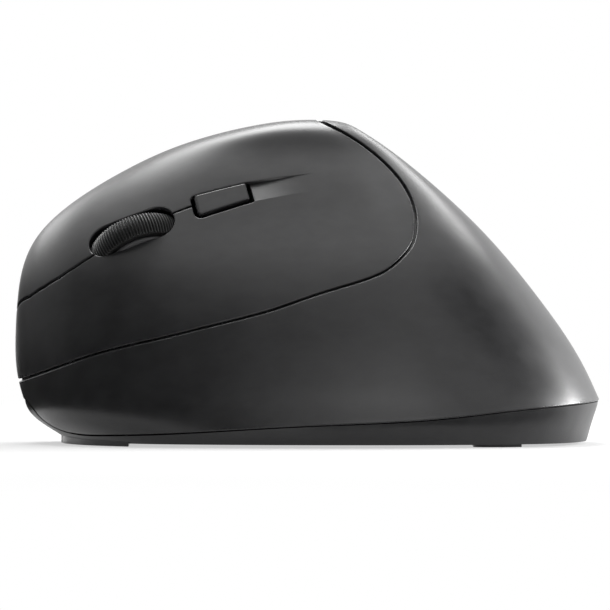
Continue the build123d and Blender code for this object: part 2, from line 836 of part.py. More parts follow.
def base_plate():
    """Base tray with bosses, board posts, the openings of its floor and the battery opening."""
    tray = whole((base_block & under_parting(seat_gap)) - base_tub(floor_top, base_wall))
    posts = [rod(ground, x, y, door_top, boss_top, boss_radius) for x, y, out_x, out_y in screw_places]
    posts += [rod(ground, x, y, door_top, main_low_z, standoff_radius) for x, y in main_posts]
    cuts = [door_opening(), rod(ground, sensor_x, sensor_y, 0, overrun / 2, window_radius + running_gap)]
    head_top = head_low + head_height
    for x, y, out_x, out_y in screw_places:
        cuts.append(rod(ground, x, y, 0, overrun, screw_radius + running_gap))
        cuts.append(rod(ground, x, y, 0, head_top, head_radius + door_gap))
    for x, y in main_posts:
        cuts.append(rod(ground, x, y, main_shank_low, overrun, board_screw_radius + running_gap))
    half = slider_width / 2 + slider_gap
    reach = slider_length / 2 + slider_gap
    slide_end = slider_y + reach + slider_travel
    cuts.append(plate(ground, slider_x - half, slider_x + half, slider_y - reach, slide_end,
                      0, floor_top + slider_gap))
    cuts.append(rod(ground, pair_x, pair_y, 0, floor_top + slider_gap, pair_radius + slider_gap))
    return whole(whole(tray + posts) - cuts)


def battery_door():
    """Sliding door under the cell and the receiver."""
    slab = plate(ground, door_low_x, overrun, door_low_y, door_high_y, 0, door_top)
    start = foot_rise + tongue_rise
    rails = plate(ground, door_low_x, overrun, door_low_y - tongue, door_high_y + tongue,
                  start, start + tongue_wall)
    return whole(base_block & (slab + rails))


def battery_tray():
    """Cover over the cell and the receiver, open at the door, on three tabs."""
    outer_half = bay_half + tray_wall
    rear, front = bay_low_y - tray_wall, bay_high_y + tray_wall
    tray = plate(ground, cell_x - outer_half, cell_x + outer_half, rear, front, floor_top, cell_z)
    tray = tray + rod(cell_plane, 0, 0, rear, front, outer_half)
    tray = tray & plate(ground, 0, overrun, -overrun, overrun, floor_top, overrun)
    tray = tray - plate(ground, cell_x - bay_half, cell_x + bay_half, bay_low_y, bay_high_y, 0, cell_z)
    tray = tray - rod(cell_plane, 0, 0, bay_low_y, bay_high_y, bay_half)
    roof = receiver_low_z + receiver_height + bay_gap
    box = plate(ground, receiver_x - outer_half, receiver_x + outer_half, bay_high_y, box_high_y + tray_wall,
                floor_top, roof + tray_wall)
    box = box - plate(ground, receiver_x - bay_half, receiver_x + bay_half, front, box_high_y, 0, roof)
    tray = tray + box
    tabs = [
        (cell_x, bay_low_y + tab_inset),
        (cell_x, bay_high_y - tab_inset - tab_width),
        (receiver_x, (receiver_low_y + receiver_high_y - tab_width) / 2),
    ]
    for x, y in tabs:
        tab = plate(ground, tab_low_x, x - bay_half, y, y + tab_width, floor_top, floor_top + tray_wall)
        tray = tray + tab
    return whole(tray)


def receiver():
    """Radio receiver stored beside the cell: its plug and its cap."""
    step_y = receiver_low_y + plug_length
    cap_half = receiver_width / 2
    cap = plate(ground, receiver_x - cap_half, receiver_x + cap_half, step_y, receiver_high_y,
                receiver_low_z, receiver_low_z + receiver_height)
    plug_half = plug_width / 2
    plug_low = receiver_low_z + (receiver_height - plug_height) / 2
    plug = plate(ground, receiver_x - plug_half, receiver_x + plug_half, receiver_low_y, step_y,
                 plug_low, plug_low + plug_height)
    return whole(cap + plug)


def foot(area):
    """Sliding foot: an area of the underside, kept inside the base's edge."""
    inside = extrude(make_face(base_outline(foot_rise, foot_inset)), amount=-foot_rise)
    return whole(inside & area)


def front_foot():
    """Curved foot along the front edge, with its front end up against the round nose of the base."""
    outer = extrude(make_face(base_outline(front_foot_top, front_foot_inset)), amount=-front_foot_top)
    inner = extrude(make_face(base_outline(foot_rise, foot_inset + front_foot_width)), amount=-foot_rise)
    area = plate(ground, -overrun, overrun, front_foot_y, overrun, 0, front_foot_top)
    return whole((outer & area) - inner - base_block)


def pad(low_x, high_x, low_y, high_y):
    """Foot with round corners."""
    shape = RectangleRounded(high_x - low_x, high_y - low_y, foot_round)
    return foot(extrude(Pos((low_x + high_x) / 2, (low_y + high_y) / 2, 0) * shape, amount=foot_rise))


def power_slider():
    """Power slider in its slot: knob, flange and the tab to its switch."""
    rail_low = floor_top + touch_gap
    wide = slider_width + 2 * flange
    knob = block_at(slider_x, slider_y, slider_width, slider_length, head_low, rail_low)
    rail = block_at(slider_x, slider_y, wide, slider_length, rail_low, rail_low + flange_wall)
    tab = rod(ground, slider_x, slider_y, rail_low, power_switch_low - touch_gap, plunger_radius)
    return whole(knob + rail + tab)


def pair_button():
    """Small round button under the base."""
    rail_low = floor_top + touch_gap
    knob = rod(ground, pair_x, pair_y, head_low, power_switch_low - touch_gap, pair_radius)
    rail = rod(ground, pair_x, pair_y, rail_low, rail_low + flange_wall, pair_radius + flange)
    return whole(knob + rail)


def main_board():
    """Circuit board on the base, with the eye of the sensor."""
    board = plate(ground, main_low_x, main_high_x, main_low_y, main_high_y, main_low_z, main_top)
    for x, y in main_posts:
        board = board - rod(ground, x, y, 0, overrun, board_screw_radius + running_gap)
    return whole(board - rod(ground, sensor_x, sensor_y, 0, overrun, window_radius))


def block_at(x, y, wide, long, low, high):
    """Upright block centred on a place."""
    return plate(ground, x - wide / 2, x + wide / 2, y - long / 2, y + long / 2, low, high)


def sensor_lens():
    """Clear lens between the floor and the board."""
    block = block_at(sensor_x, sensor_y, lens_width, lens_length, floor_top, main_low_z)
    return whole(block + rod(ground, sensor_x, sensor_y, head_low, floor_top, window_radius))


def screws(places, head_low, head_high, shank_low, shank_high, head, shank):
    """Screws at several places."""
    return [rod(ground, x, y, head_low, head_high, head) + rod(ground, x, y, shank_low, shank_high, shank)
            for x, y in places]


def contact(low):
    """Spring strip at one end of the cell, up from a place along the body."""
    middle = low + contact_wall / 2
    return block_at(cell_x, middle, 2 * half_contact, contact_wall, floor_top, cell_z + nub_radius / 2)


# Outer pieces
for name, side, post_x in (("index", 1, index_post_x), ("middle", -1, middle_post_x)):
    place = (post_x, key_post_y)
    save(f"{name}_key", finger_key(side, place))
    housing = switch_body(key_plane, *place, board_top, switch_width, switch_length, switch_height)
    save(f"{name}_switch", housing)
    save(f"{name}_plunger", plunger(key_plane, *place, board_top, switch_height))
save("finger_cover", finger_cover())
save("main_shell", main_shell())
for name, side in (("front_thumb", 1), ("rear_thumb", -1)):
    save(f"{name}_button", thumb_button(side))
    y, z = thumb_post(side)
    save(f"{name}_switch", switch_body(side_view, y, z, thumb_face, tact_size, tact_size, tact_height))
    save(f"{name}_plunger", plunger(side_view, y, z, thumb_face, tact_height))
save("status_lamp", whole((body(0.0) - body(shell_wall)) & lamp_hole(0.0)))
save("speed_button", speed_button())
save("speed_switch", switch_body(key_plane, *speed_place, board_top, tact_size, tact_size, tact_height))
save("speed_plunger", plunger(key_plane, *speed_place, board_top, tact_height))

# Wheel
save("wheel_tyre", wheel_tyre())
save("wheel_hub", wheel_hub())
save("wheel_axle", wheel_axle())
save("wheel_fork", wheel_fork())
save("wheel_encoder", wheel_encoder())
save("wheel_switch", switch_body(key_plane, wheel_tact_x, 0, board_top, tact_size, tact_size, tact_height))
save("wheel_plunger", plunger(key_plane, wheel_tact_x, 0, board_top, tact_height))

# Frame and boards
save("inner_frame", inner_frame())
save("angled_board", angled_board())
save("thumb_board", thumb_board())
save("main_board", main_board())
sensor_top = main_top + sensor_height
save("sensor_chip", block_at(sensor_x, sensor_y, sensor_size, sensor_size, main_top, sensor_top))
save("sensor_lens", sensor_lens())
save("control_chip", block_at(chip_x, chip_y, chip_size, chip_size, main_top, main_top + chip_height))
save("board_screws", *screws(main_posts, main_top, main_top + board_wall, main_shank_low, main_top,
                             board_screw_head, board_screw_radius))

# Base
save("base_plate", base_plate())
save("battery_door", battery_door())
save("battery_tray", battery_tray())
save("battery_cell", rod(cell_plane, 0, 0, cell_low_y, cell_high_y, cell_radius)
     + rod(cell_plane, 0, 0, cell_high_y, cell_high_y + nub_length, nub_radius))
save("rear_contact", whole(contact(bay_low_y) + rod(cell_plane, 0, 0, bay_low_y, cell_low_y, nub_radius)))
save("front_contact", contact(bay_high_y - contact_wall))
save("receiver", receiver())
save("power_slider", power_slider())
power_switch_length = slider_length + slider_travel
save("power_switch", block_at(slider_x, slider_y + slider_travel / 2, slider_width, power_switch_length,
                              power_switch_low, main_low_z))
save("pair_button", pair_button())
pair_switch_low = power_switch_low + press_travel
save("pair_switch", block_at(pair_x, pair_y, tact_size, tact_size, pair_switch_low, main_low_z))
save("case_screws", *screws([place[:2] for place in screw_places], head_low, head_low + head_height,
                            head_low, head_low + screw_length, head_radius, screw_radius))

# Feet
save("front_foot", front_foot())
save("rear_foot", pad(rear_foot_low_x, rear_foot_high_x, rear_foot_low_y, rear_foot_high_y))
save("thumb_side_foot", pad(thumb_foot_low_x, thumb_foot_high_x, thumb_foot_low_y, thumb_foot_high_y))
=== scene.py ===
import json
import math
import bpy
import numpy as np
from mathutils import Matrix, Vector

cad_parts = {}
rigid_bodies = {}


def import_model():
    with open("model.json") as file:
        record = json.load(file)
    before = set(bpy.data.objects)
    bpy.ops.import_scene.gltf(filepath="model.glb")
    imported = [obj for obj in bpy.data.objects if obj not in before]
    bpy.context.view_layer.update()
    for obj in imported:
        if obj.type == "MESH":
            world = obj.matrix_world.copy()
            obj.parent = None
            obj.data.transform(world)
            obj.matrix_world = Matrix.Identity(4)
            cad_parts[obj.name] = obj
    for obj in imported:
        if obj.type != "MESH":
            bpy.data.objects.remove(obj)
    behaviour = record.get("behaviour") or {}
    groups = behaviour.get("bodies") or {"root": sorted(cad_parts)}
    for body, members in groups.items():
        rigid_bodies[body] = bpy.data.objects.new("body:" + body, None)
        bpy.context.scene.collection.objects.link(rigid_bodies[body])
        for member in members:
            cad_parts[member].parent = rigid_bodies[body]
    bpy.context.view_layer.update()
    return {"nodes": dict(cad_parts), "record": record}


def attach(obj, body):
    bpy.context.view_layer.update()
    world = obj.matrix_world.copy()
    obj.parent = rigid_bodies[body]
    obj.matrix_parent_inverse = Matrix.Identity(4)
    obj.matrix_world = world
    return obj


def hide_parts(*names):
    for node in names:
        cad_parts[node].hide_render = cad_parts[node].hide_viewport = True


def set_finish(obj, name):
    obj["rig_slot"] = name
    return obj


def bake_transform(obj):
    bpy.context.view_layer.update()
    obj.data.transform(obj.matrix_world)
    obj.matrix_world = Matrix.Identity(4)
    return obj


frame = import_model()
nodes = frame["nodes"]
mm = 0.001  # in metres

# The photo's frame: 610 pixels across, the mouse seen from its finger side
view = {"pixels": 610, "length": 121.0, "lengthPixels": 585, "middlePixel": 307.25, "floorPixel": 443.5,
        "distance": 3.0, "elevation": 1.0, "sensor": 36.0}


def makeCamera():
    scale = view["length"] / view["lengthPixels"]
    centre = view["pixels"] / 2
    along = (view["middlePixel"] - centre) * scale * mm
    up = (view["floorPixel"] - centre) * scale * mm
    tilt = math.radians(view["elevation"])
    camera = bpy.data.objects.new("camera", bpy.data.cameras.new("camera"))
    bpy.context.scene.collection.objects.link(camera)
    camera.location = (-view["distance"] * math.cos(tilt), along, up + view["distance"] * math.sin(tilt))
    camera.rotation_euler = (math.pi / 2 - tilt, 0, -math.pi / 2)
    camera.data.sensor_width = view["sensor"]
    camera.data.lens = view["sensor"] * view["distance"] / (view["pixels"] * scale * mm)
    camera.data.clip_end = 20
    camera.data.dof.use_dof = False
    bpy.context.scene.camera = camera


makeCamera()
print("camera placed")

# Form of the body: sizes in millimetres, levels from the top down, as in the CAD model
form = {"length": 121.0, "width": 76.0, "height": 66.9}
halfLength = form["length"] / 2
halfWidth = form["width"] / 2
height = form["height"]
# for each level: up, front, rear, finger side, thumb side, spine at front and rear, widest place, waist, foot
levelShares = [
    (1.000, -0.013, -0.013, 0.289, 0.289, 0.289, 0.289, -0.013, 0.0, 0.0),
    (0.993, 0.109, -0.116, 0.211, 0.363, 0.300, 0.276, -0.013, 0.0, 0.0),
    (0.970, 0.248, -0.177, 0.132, 0.426, 0.311, 0.263, -0.025, 0.0, 0.0),
    (0.918, 0.445, -0.266, 0.050, 0.479, 0.316, 0.237, -0.050, 0.2, 0.0),
    (0.843, 0.626, -0.374, -0.078, 0.511, 0.316, 0.211, -0.066, 0.5, 0.0),
    (0.743, 0.805, -0.501, -0.250, 0.524, 0.303, 0.184, -0.099, 0.8, 0.0),
    (0.644, 0.921, -0.612, -0.421, 0.524, 0.276, 0.158, -0.132, 1.0, 0.0),
    (0.546, 0.974, -0.707, -0.584, 0.532, 0.250, 0.132, -0.149, 1.0, 0.0),
    (0.433, 0.994, -0.805, -0.732, 0.574, 0.224, 0.105, -0.149, 0.9, 0.1),
    (0.323, 1.000, -0.891, -0.839, 0.668, 0.197, 0.079, -0.132, 0.6, 0.4),
    (0.224, 0.995, -0.954, -0.913, 0.789, 0.171, 0.066, -0.116, 0.3, 0.7),
    (0.141, 0.973, -0.996, -0.963, 0.897, 0.158, 0.053, -0.099, 0.0, 1.0),
    (0.075, 0.929, -1.026, -0.988, 0.976, 0.158, 0.053, -0.099, 0.0, 1.0),
    (0.015, 0.826, -1.045, -1.008, 1.005, 0.158, 0.053, -0.099, 0.0, 1.0),
    (-0.120, 0.661, -1.061, -1.050, 1.050, 0.158, 0.053, -0.099, 0.0, 1.0),
]
# outline of a level at its columns, from the front over the finger side: at the top, waist and foot
capShares = [
    (0, 1), (-0.5, 0.866), (-0.866, 0.5), (-1, 0), (-0.866, -0.5), (-0.5, -0.866),
    (0, -1), (0.5, -0.866), (0.866, -0.5), (1, 0), (0.866, 0.5), (0.5, 0.866),
]
waistShares = [
    (0, 1), (-0.48, 0.87), (-0.83, 0.52), (-1, 0), (-0.93, -0.52), (-0.58, -0.88),
    (0, -1), (0.64, -0.90), (1.07, -0.55), (1.03, 0), (0.92, 0.50), (0.58, 0.88),
]
footShares = [
    (0, 1), (-0.50, 0.88), (-0.85, 0.54), (-1, 0), (-0.95, -0.54), (-0.63, -0.89),
    (0, -1), (0.62, -0.89), (0.97, -0.54), (1, 0), (0.82, 0.50), (0.50, 0.88),
]
# seam of the cover from the side and from above, and the line over the base
seamShares = [
    (0.060, 1.050), (-0.049, 0.996), (-0.139, 0.954), (-0.231, 0.895), (-0.302, 0.833),
    (-0.347, 0.773), (-0.367, 0.720), (-0.370, 0.683), (-0.359, 0.626), (-0.322, 0.581),
    (-0.273, 0.544), (-0.190, 0.511), (-0.023, 0.465), (0.093, 0.428), (0.298, 0.378),
    (0.504, 0.332), (0.709, 0.286), (0.982, 0.196), (1.100, 0.158),
]
ridgeSeamShares = [
    (-0.450, 0.190), (-0.300, 0.260), (-0.049, 0.330), (0.150, 0.372), (0.400, 0.385),
    (0.700, 0.360), (1.100, 0.300),
]
partingShares = [
    (1.080, 0.165), (0.944, 0.117), (0.907, 0.079), (0.883, 0.063), (0.845, 0.046),
    (0.798, 0.036), (0.674, 0.034), (0.537, 0.039), (0.025, 0.067), (-0.455, 0.090),
    (-0.714, 0.115), (-0.861, 0.126), (-1.000, 0.135), (-1.100, 0.142),
]
columns = len(capShares)
surface = {"tiny": 1e-4, "lookSteps": 121, "lookFrom": 0.01, "lookTo": 0.97, "aimSteps": 12, "perSpan": 12,
           "sectors": 288, "rings": 130, "leastLean": 0.03, "onLine": 2e-4, "cutSteps": 7, "cutPlay": 0.02,
           "roundSteps": 4, "arcSteps": 6, "edgeReach": 4}
tiny = surface["tiny"]


def splineTable(knots, table, where):
    # values at where of the smooth curve through a table given at the knots
    count = len(knots)
    step = np.diff(knots)
    bend = np.eye(count)
    pull = np.zeros((count,) + table.shape[1:])
    for i in range(1, count - 1):
        bend[i, i - 1:i + 2] = (step[i - 1], 2 * (step[i - 1] + step[i]), step[i])
        pull[i] = 6 * ((table[i + 1] - table[i]) / step[i] - (table[i] - table[i - 1]) / step[i - 1])
    curve = np.linalg.solve(bend, pull)
    i = np.clip(np.searchsorted(knots, where) - 1, 0, count - 2)
    span = step[i][:, None]
    ahead = (knots[i + 1] - where)[:, None] / span
    behind = 1 - ahead
    straight = ahead * table[i] + behind * table[i + 1]
    return straight + ((ahead**3 - ahead) * curve[i] + (behind**3 - behind) * curve[i + 1]) * span**2 / 6


def levelPoints():
    points = np.zeros((len(levelShares), columns, 3))
    for k, row in enumerate(levelShares):
        up, front, rear, finger, thumb, spineFront, spineRear, widest, waist, foot = row
        for m in range(columns):
            blend = [(1 - waist - foot) * capShares[m][i] + waist * waistShares[m][i]
                     + foot * footShares[m][i] for i in range(2)]
            along = widest + abs(blend[1]) * ((front - widest) if blend[1] > 0 else (rear - widest))
            place = (along - rear) / (front - rear) if front > rear else 0
            middle = spineRear + (spineFront - spineRear) * place
            across = middle + abs(blend[0]) * ((finger - middle) if blend[0] < 0 else (thumb - middle))
            points[k, m] = (across * halfWidth, along * halfLength, up * height)
    return points


def diameters():
    points = levelPoints()
    steps = np.linalg.norm(np.diff(points, axis=0), axis=2).mean(axis=1)
    places = np.concatenate([[0], np.cumsum(steps)]) / steps.sum()
    table = np.zeros((columns, 2 * len(places) - 1, 3))
    for m in range(columns):
        table[m, len(places) - 1:] = points[:, m]
        table[m, :len(places)] = points[::-1, (m + columns // 2) % columns]
    return np.concatenate([-places[:0:-1], places]), table


levelPlaces, levelTable = diameters()
levelBasis = np.eye(len(levelPlaces))
wrap = np.arange(-columns, 2 * columns)
cyclicBasis = np.zeros((len(wrap), columns))
cyclicBasis[np.arange(len(wrap)), wrap % columns] = 1


def skin(turn, out):
    turn, out = np.broadcast_arrays(np.asarray(turn, float), np.asarray(out, float))
    along = splineTable(levelPlaces, levelBasis, out.ravel())
    roundAbout = splineTable(wrap / columns, cyclicBasis, turn.ravel() % 1.0)
    rows = np.tensordot(along, levelTable, ([1], [1]))
    return np.einsum("km,kmc->kc", roundAbout, rows).reshape(turn.shape + (3,))


def skinNormal(turn, out):
    out = np.maximum(out, 10 * tiny)
    roundStep = skin(turn + tiny, out) - skin(turn - tiny, out)
    outStep = skin(turn, out + tiny) - skin(turn, out - tiny)
    across = np.cross(outStep, roundStep)
    return across / np.linalg.norm(across, axis=-1, keepdims=True)


lookTurn, lookOut = np.meshgrid(np.linspace(0, 1, surface["lookSteps"]),
                                np.linspace(surface["lookFrom"], surface["lookTo"], surface["lookSteps"]),
                                indexing="ij")
lookGrid = skin(lookTurn, lookOut)


def spot(along, up):
    # point and outward direction of the finger side at a place seen from that side
    miss = np.hypot(lookGrid[..., 1] - along, lookGrid[..., 2] - up)
    miss[lookGrid[..., 0] > levelShares[0][3] * halfWidth] = form["length"]
    best = np.array([grid[np.unravel_index(np.argmin(miss), miss.shape)] for grid in (lookTurn, lookOut)])
    for _ in range(surface["aimSteps"]):
        here = skin(*best)
        roundSlope = (skin(best[0] + tiny, best[1]) - here)[1:] / tiny
        outSlope = (skin(best[0], best[1] + tiny) - here)[1:] / tiny
        best = best - np.linalg.solve(np.array([roundSlope, outSlope]).T, here[1:] - (along, up))
    return skin(*best), skinNormal(*best)


class Plane:
    # a flat frame: origin and three directions
    def __init__(self, origin, xWay, zWay):
        self.origin = np.array(origin, float)
        self.z = np.array(zWay, float) / np.linalg.norm(zWay)
        self.x = np.array(xWay, float) / np.linalg.norm(xWay)
        self.y = np.cross(self.z, self.x)
        self.axes = np.array([self.x, self.y, self.z])

    def local(self, points):
        return (np.asarray(points) - self.origin) @ self.axes.T

    def world(self, points):
        return self.origin + np.asarray(points, float) @ self.axes


def localPlane(along, up, fall):
    point, outward = spot(along, up)
    drop = math.radians(fall)
    forward = np.array([(outward[2] * math.sin(drop) - outward[1] * math.cos(drop)) / outward[0],
                        math.cos(drop), -math.sin(drop)])
    return Plane(point, np.cross(forward / np.linalg.norm(forward), outward), outward)


planes = {"keys": (36.2, 43.3, 22.0), "speed": (18.0, 50.35, 14.0)}  # along, up, and fall in degrees
sideView = Plane((0, 0, 0), (0, 1, 0), (1, 0, 0))
fromAbove = Plane((0, 0, 0), (1, 0, 0), (0, 0, 1))
keyPlane = localPlane(*planes["keys"])
speedPlane = localPlane(*planes["speed"])
print("form ready")


# Flat shapes that bound a piece. Each gives the distance inside it and the way in, at every point
def smoothLine(points):
    points = np.array(points, float)
    run = np.concatenate([[0], np.cumsum(np.linalg.norm(np.diff(points, axis=0), axis=1))])
    spans = [np.linspace(a, b, surface["perSpan"], endpoint=False) for a, b in zip(run[:-1], run[1:])]
    where = np.concatenate(spans + [run[-1:]])
    return splineTable(run, points, where)


def polygonShape(plane, corners, grow=0.0):
    corners = np.array(corners, float)
    ahead = np.roll(corners, -1, axis=0)
    run = ahead - corners
    length = np.linalg.norm(run, axis=1)
    area = np.sum(corners[:, 0] * ahead[:, 1] - ahead[:, 0] * corners[:, 1])
    inward = np.column_stack([-run[:, 1], run[:, 0]]) / length[:, None] * np.sign(area)

    def measure(points):
        flat = plane.local(points)[:, :2]
        near = np.full(len(flat), np.inf)
        pick = np.zeros(len(flat), int)
        crossings = np.zeros(len(flat), int)
        for k in range(len(corners)):
            away = flat - corners[k]
            share = np.clip(away @ run[k] / length[k]**2, 0, 1)
            far = np.linalg.norm(away - share[:, None] * run[k], axis=1)
            closer = far < near - 1e-9
            near[closer] = far[closer]
            pick[closer] = k
            spans = (corners[k, 1] > flat[:, 1]) != (ahead[k, 1] > flat[:, 1])
            if spans.any():
                rise = (flat[:, 1] - corners[k, 1]) / (ahead[k, 1] - corners[k, 1] + 1e-12)
                crossings += spans & (flat[:, 0] < corners[k, 0] + rise * run[k, 0])
        signed = np.where(crossings % 2 == 1, near, -near) + grow
        return signed, inward[pick] @ plane.axes[:2]

    return measure


def roundedShape(plane, middle, turn, size, corner):
    # rectangle with round corners: distance inside it
    c, s = math.cos(math.radians(turn)), math.sin(math.radians(turn))

    def measure(points):
        flat = (plane.local(points)[:, :2] - middle) @ np.array([[c, -s], [s, c]])
        over = np.abs(flat) - (np.array(size) / 2 - corner)
        outside = np.linalg.norm(np.maximum(over, 0), axis=1)
        signed = corner - outside - np.minimum(over.max(axis=1), 0)
        way = np.where(over > 0, over, 0) * np.sign(flat)
        flatSide = (over <= 0).all(axis=1)
        edge = (over == over.max(axis=1, keepdims=True)) * np.sign(flat)
        way[flatSide] = edge[flatSide]
        way = -way / np.maximum(np.linalg.norm(way, axis=1, keepdims=True), 1e-9)
        return signed, (way @ np.array([[c, s], [-s, c]])) @ plane.axes[:2]

    return measure


def outsideOf(shape, grow=0.0):
    def measure(points):
        signed, way = shape(points)
        return -signed - grow, -way

    return measure


def bothOf(first, second):
    def measure(points):
        a, wayA = first(points)
        b, wayB = second(points)
        return np.minimum(a, b), np.where((a < b)[:, None], wayA, wayB)

    return measure


class Patch:
    # part of the outer surface, cut along lines and then given a wall
    def __init__(self):
        sectors, rings = surface["sectors"], surface["rings"]
        turn, out = np.meshgrid(np.arange(sectors) / sectors, np.arange(1, rings + 1) / rings)
        angle = 2 * math.pi * turn
        disc = np.column_stack([(out * np.cos(angle)).ravel(), (out * np.sin(angle)).ravel()])
        i = np.arange(sectors)
        ahead = (i + 1) % sectors
        faces = [np.column_stack([0 * i, 1 + i, 1 + ahead])]
        for low in 1 + sectors * np.arange(rings - 1):
            high = low + sectors
            faces.append(np.column_stack([low + i, high + i, high + ahead]))
            faces.append(np.column_stack([low + i, high + ahead, low + ahead]))
        self.faces = np.vstack(faces)
        self.edges = []
        self.disc = np.zeros((0, 2))
        self.place, self.normal = np.zeros((0, 3)), np.zeros((0, 3))
        self.addPoints(np.vstack([[[0, 0]], disc]))

    def copy(self):
        twin = Patch.__new__(Patch)
        twin.faces, twin.disc, twin.place, twin.normal = self.faces, self.disc, self.place, self.normal
        twin.edges = [dict(edge) for edge in self.edges]
        return twin

    def onSkin(self, disc):
        turn = np.arctan2(disc[:, 1], disc[:, 0]) / (2 * math.pi) % 1.0
        out = np.hypot(disc[:, 0], disc[:, 1])
        return skin(turn, out), skinNormal(turn, out)

    def measure(self, shape, place, normal):
        signed, way = shape(place)
        lean = np.sum(way * normal, axis=1)
        return signed / np.sqrt(np.maximum(1 - lean**2, surface["leastLean"])), way

    def addPoints(self, disc):
        first = len(self.disc)
        place, normal = self.onSkin(disc)
        self.disc, self.place = np.vstack([self.disc, disc]), np.vstack([self.place, place])
        self.normal = np.vstack([self.normal, normal])
        for edge in self.edges:
            signed, way = self.measure(edge["shape"], place, normal)
            edge["signed"] = np.concatenate([edge["signed"], signed])
            edge["way"] = np.vstack([edge["way"], way])
        return first

    def sides(self):
        # every edge of the triangles once, and the three edges of each triangle
        pairs = np.vstack([self.faces[:, [0, 1]], self.faces[:, [1, 2]], self.faces[:, [2, 0]]])
        key = pairs.min(axis=1) * len(self.disc) + pairs.max(axis=1)
        _, index, back = np.unique(key, return_index=True, return_inverse=True)
        return pairs[index], back.reshape(3, -1).T

    def refine(self, near, limit):
        # halves the edges longer than the limit, wherever near says so
        while True:
            sides, back = self.sides()
            ends = self.place[sides]
            marked = (np.linalg.norm(ends[:, 0] - ends[:, 1], axis=1) > limit) & near(ends.mean(axis=1))
            if not marked.any():
                return
            first = self.addPoints(self.disc[sides[marked]].mean(axis=1))
            middle = first + np.cumsum(marked) - 1
            cut = marked[back]
            made = [self.faces[~cut.any(axis=1)]]
            for turn in range(3):
                face, hit, mid = (np.roll(table, -turn, axis=1) for table in (self.faces, cut, middle[back]))
                one = hit[:, 0] & ~hit[:, 1] & ~hit[:, 2]
                (a, b, c), p = face[one].T, mid[one, 0]
                made += [np.column_stack([a, p, c]), np.column_stack([p, b, c])]
                two = ~hit[:, 0] & hit[:, 1] & hit[:, 2]
                (a, b, c), p, q = face[two].T, mid[two, 1], mid[two, 2]
                made += [np.column_stack([a, b, p]), np.column_stack([a, p, q]), np.column_stack([q, p, c])]
            (a, b, c), (p, q, r) = self.faces[cut.all(axis=1)].T, middle[back][cut.all(axis=1)].T
            made += [np.column_stack(rows) for rows in ((a, p, r), (p, b, q), (r, q, c), (p, q, r))]
            self.faces = np.vstack(made)

    def bound(self, shape, fade=None, rounded=True):
        # keeps what lies inside a shape; fade weakens its round edge from place to place
        signed, way = self.measure(shape, self.place, self.normal)
        self.edges.append({"shape": shape, "fade": fade, "rounded": rounded, "signed": signed, "way": way})
        self.cut(self.edges[-1], 0.0)
        self.keep(self.edges[-1]["signed"][self.faces].sum(axis=1) > 0)

    def keep(self, chosen):
        used, faces = np.unique(self.faces[chosen], return_inverse=True)
        self.faces = faces.reshape(-1, 3)
        self.disc, self.place, self.normal = self.disc[used], self.place[used], self.normal[used]
        for edge in self.edges:
            edge["signed"], edge["way"] = edge["signed"][used], edge["way"][used]

    def cut(self, edge, level):
        # splits the triangles that the line at this level inside a shape's border crosses
        value = edge["signed"] - level
        sign = np.where(np.abs(value) < surface["onLine"], 0, np.sign(value)).astype(int)
        s = sign[self.faces]
        crossed = (s.max(axis=1) > 0) & (s.min(axis=1) < 0)
        if not crossed.any():
            return
        sides, back = self.sides()
        over = sign[sides[:, 0]] * sign[sides[:, 1]] < 0
        pairs = sides[over]
        low, high = value[pairs[:, 0]], value[pairs[:, 1]]
        start, end = np.zeros(len(pairs)), np.ones(len(pairs))
        discLow, discHigh = self.disc[pairs[:, 0]], self.disc[pairs[:, 1]]
        play = surface["cutPlay"]
        for _ in range(surface["cutSteps"]):
            share = start + (end - start) * np.clip(low / (low - high), play, 1 - play)
            disc = discLow + (discHigh - discLow) * share[:, None]
            found = self.measure(edge["shape"], *self.onSkin(disc))[0] - level
            same = np.sign(found) == np.sign(low)
            start, low = np.where(same, share, start), np.where(same, found, low)
            end, high = np.where(same, end, share), np.where(same, high, found)
        first = self.addPoints(disc)
        edge["signed"][first:] = level
        middle = (first + np.cumsum(over) - 1)[back]
        made = [self.faces[~crossed]]
        faces, s, middle = self.faces[crossed], s[crossed], middle[crossed]
        for turn in range(3):
            face, t, mid = (np.roll(table, -turn, axis=1) for table in (faces, s, middle))
            on = (t[:, 0] == 0) & (t[:, 1] * t[:, 2] < 0)
            (a, b, c), p = face[on].T, mid[on, 1]
            made += [np.column_stack([a, b, p]), np.column_stack([a, p, c])]
            lone = (t[:, 0] * t[:, 1] < 0) & (t[:, 0] * t[:, 2] < 0)
            (a, b, c), p, q = face[lone].T, mid[lone, 0], mid[lone, 2]
            made += [np.column_stack([a, p, q]), np.column_stack([p, b, c]), np.column_stack([p, c, q])]
        self.faces = np.vstack(made)

    def shell(self, radius, wall, rise=0.0, lower=None):
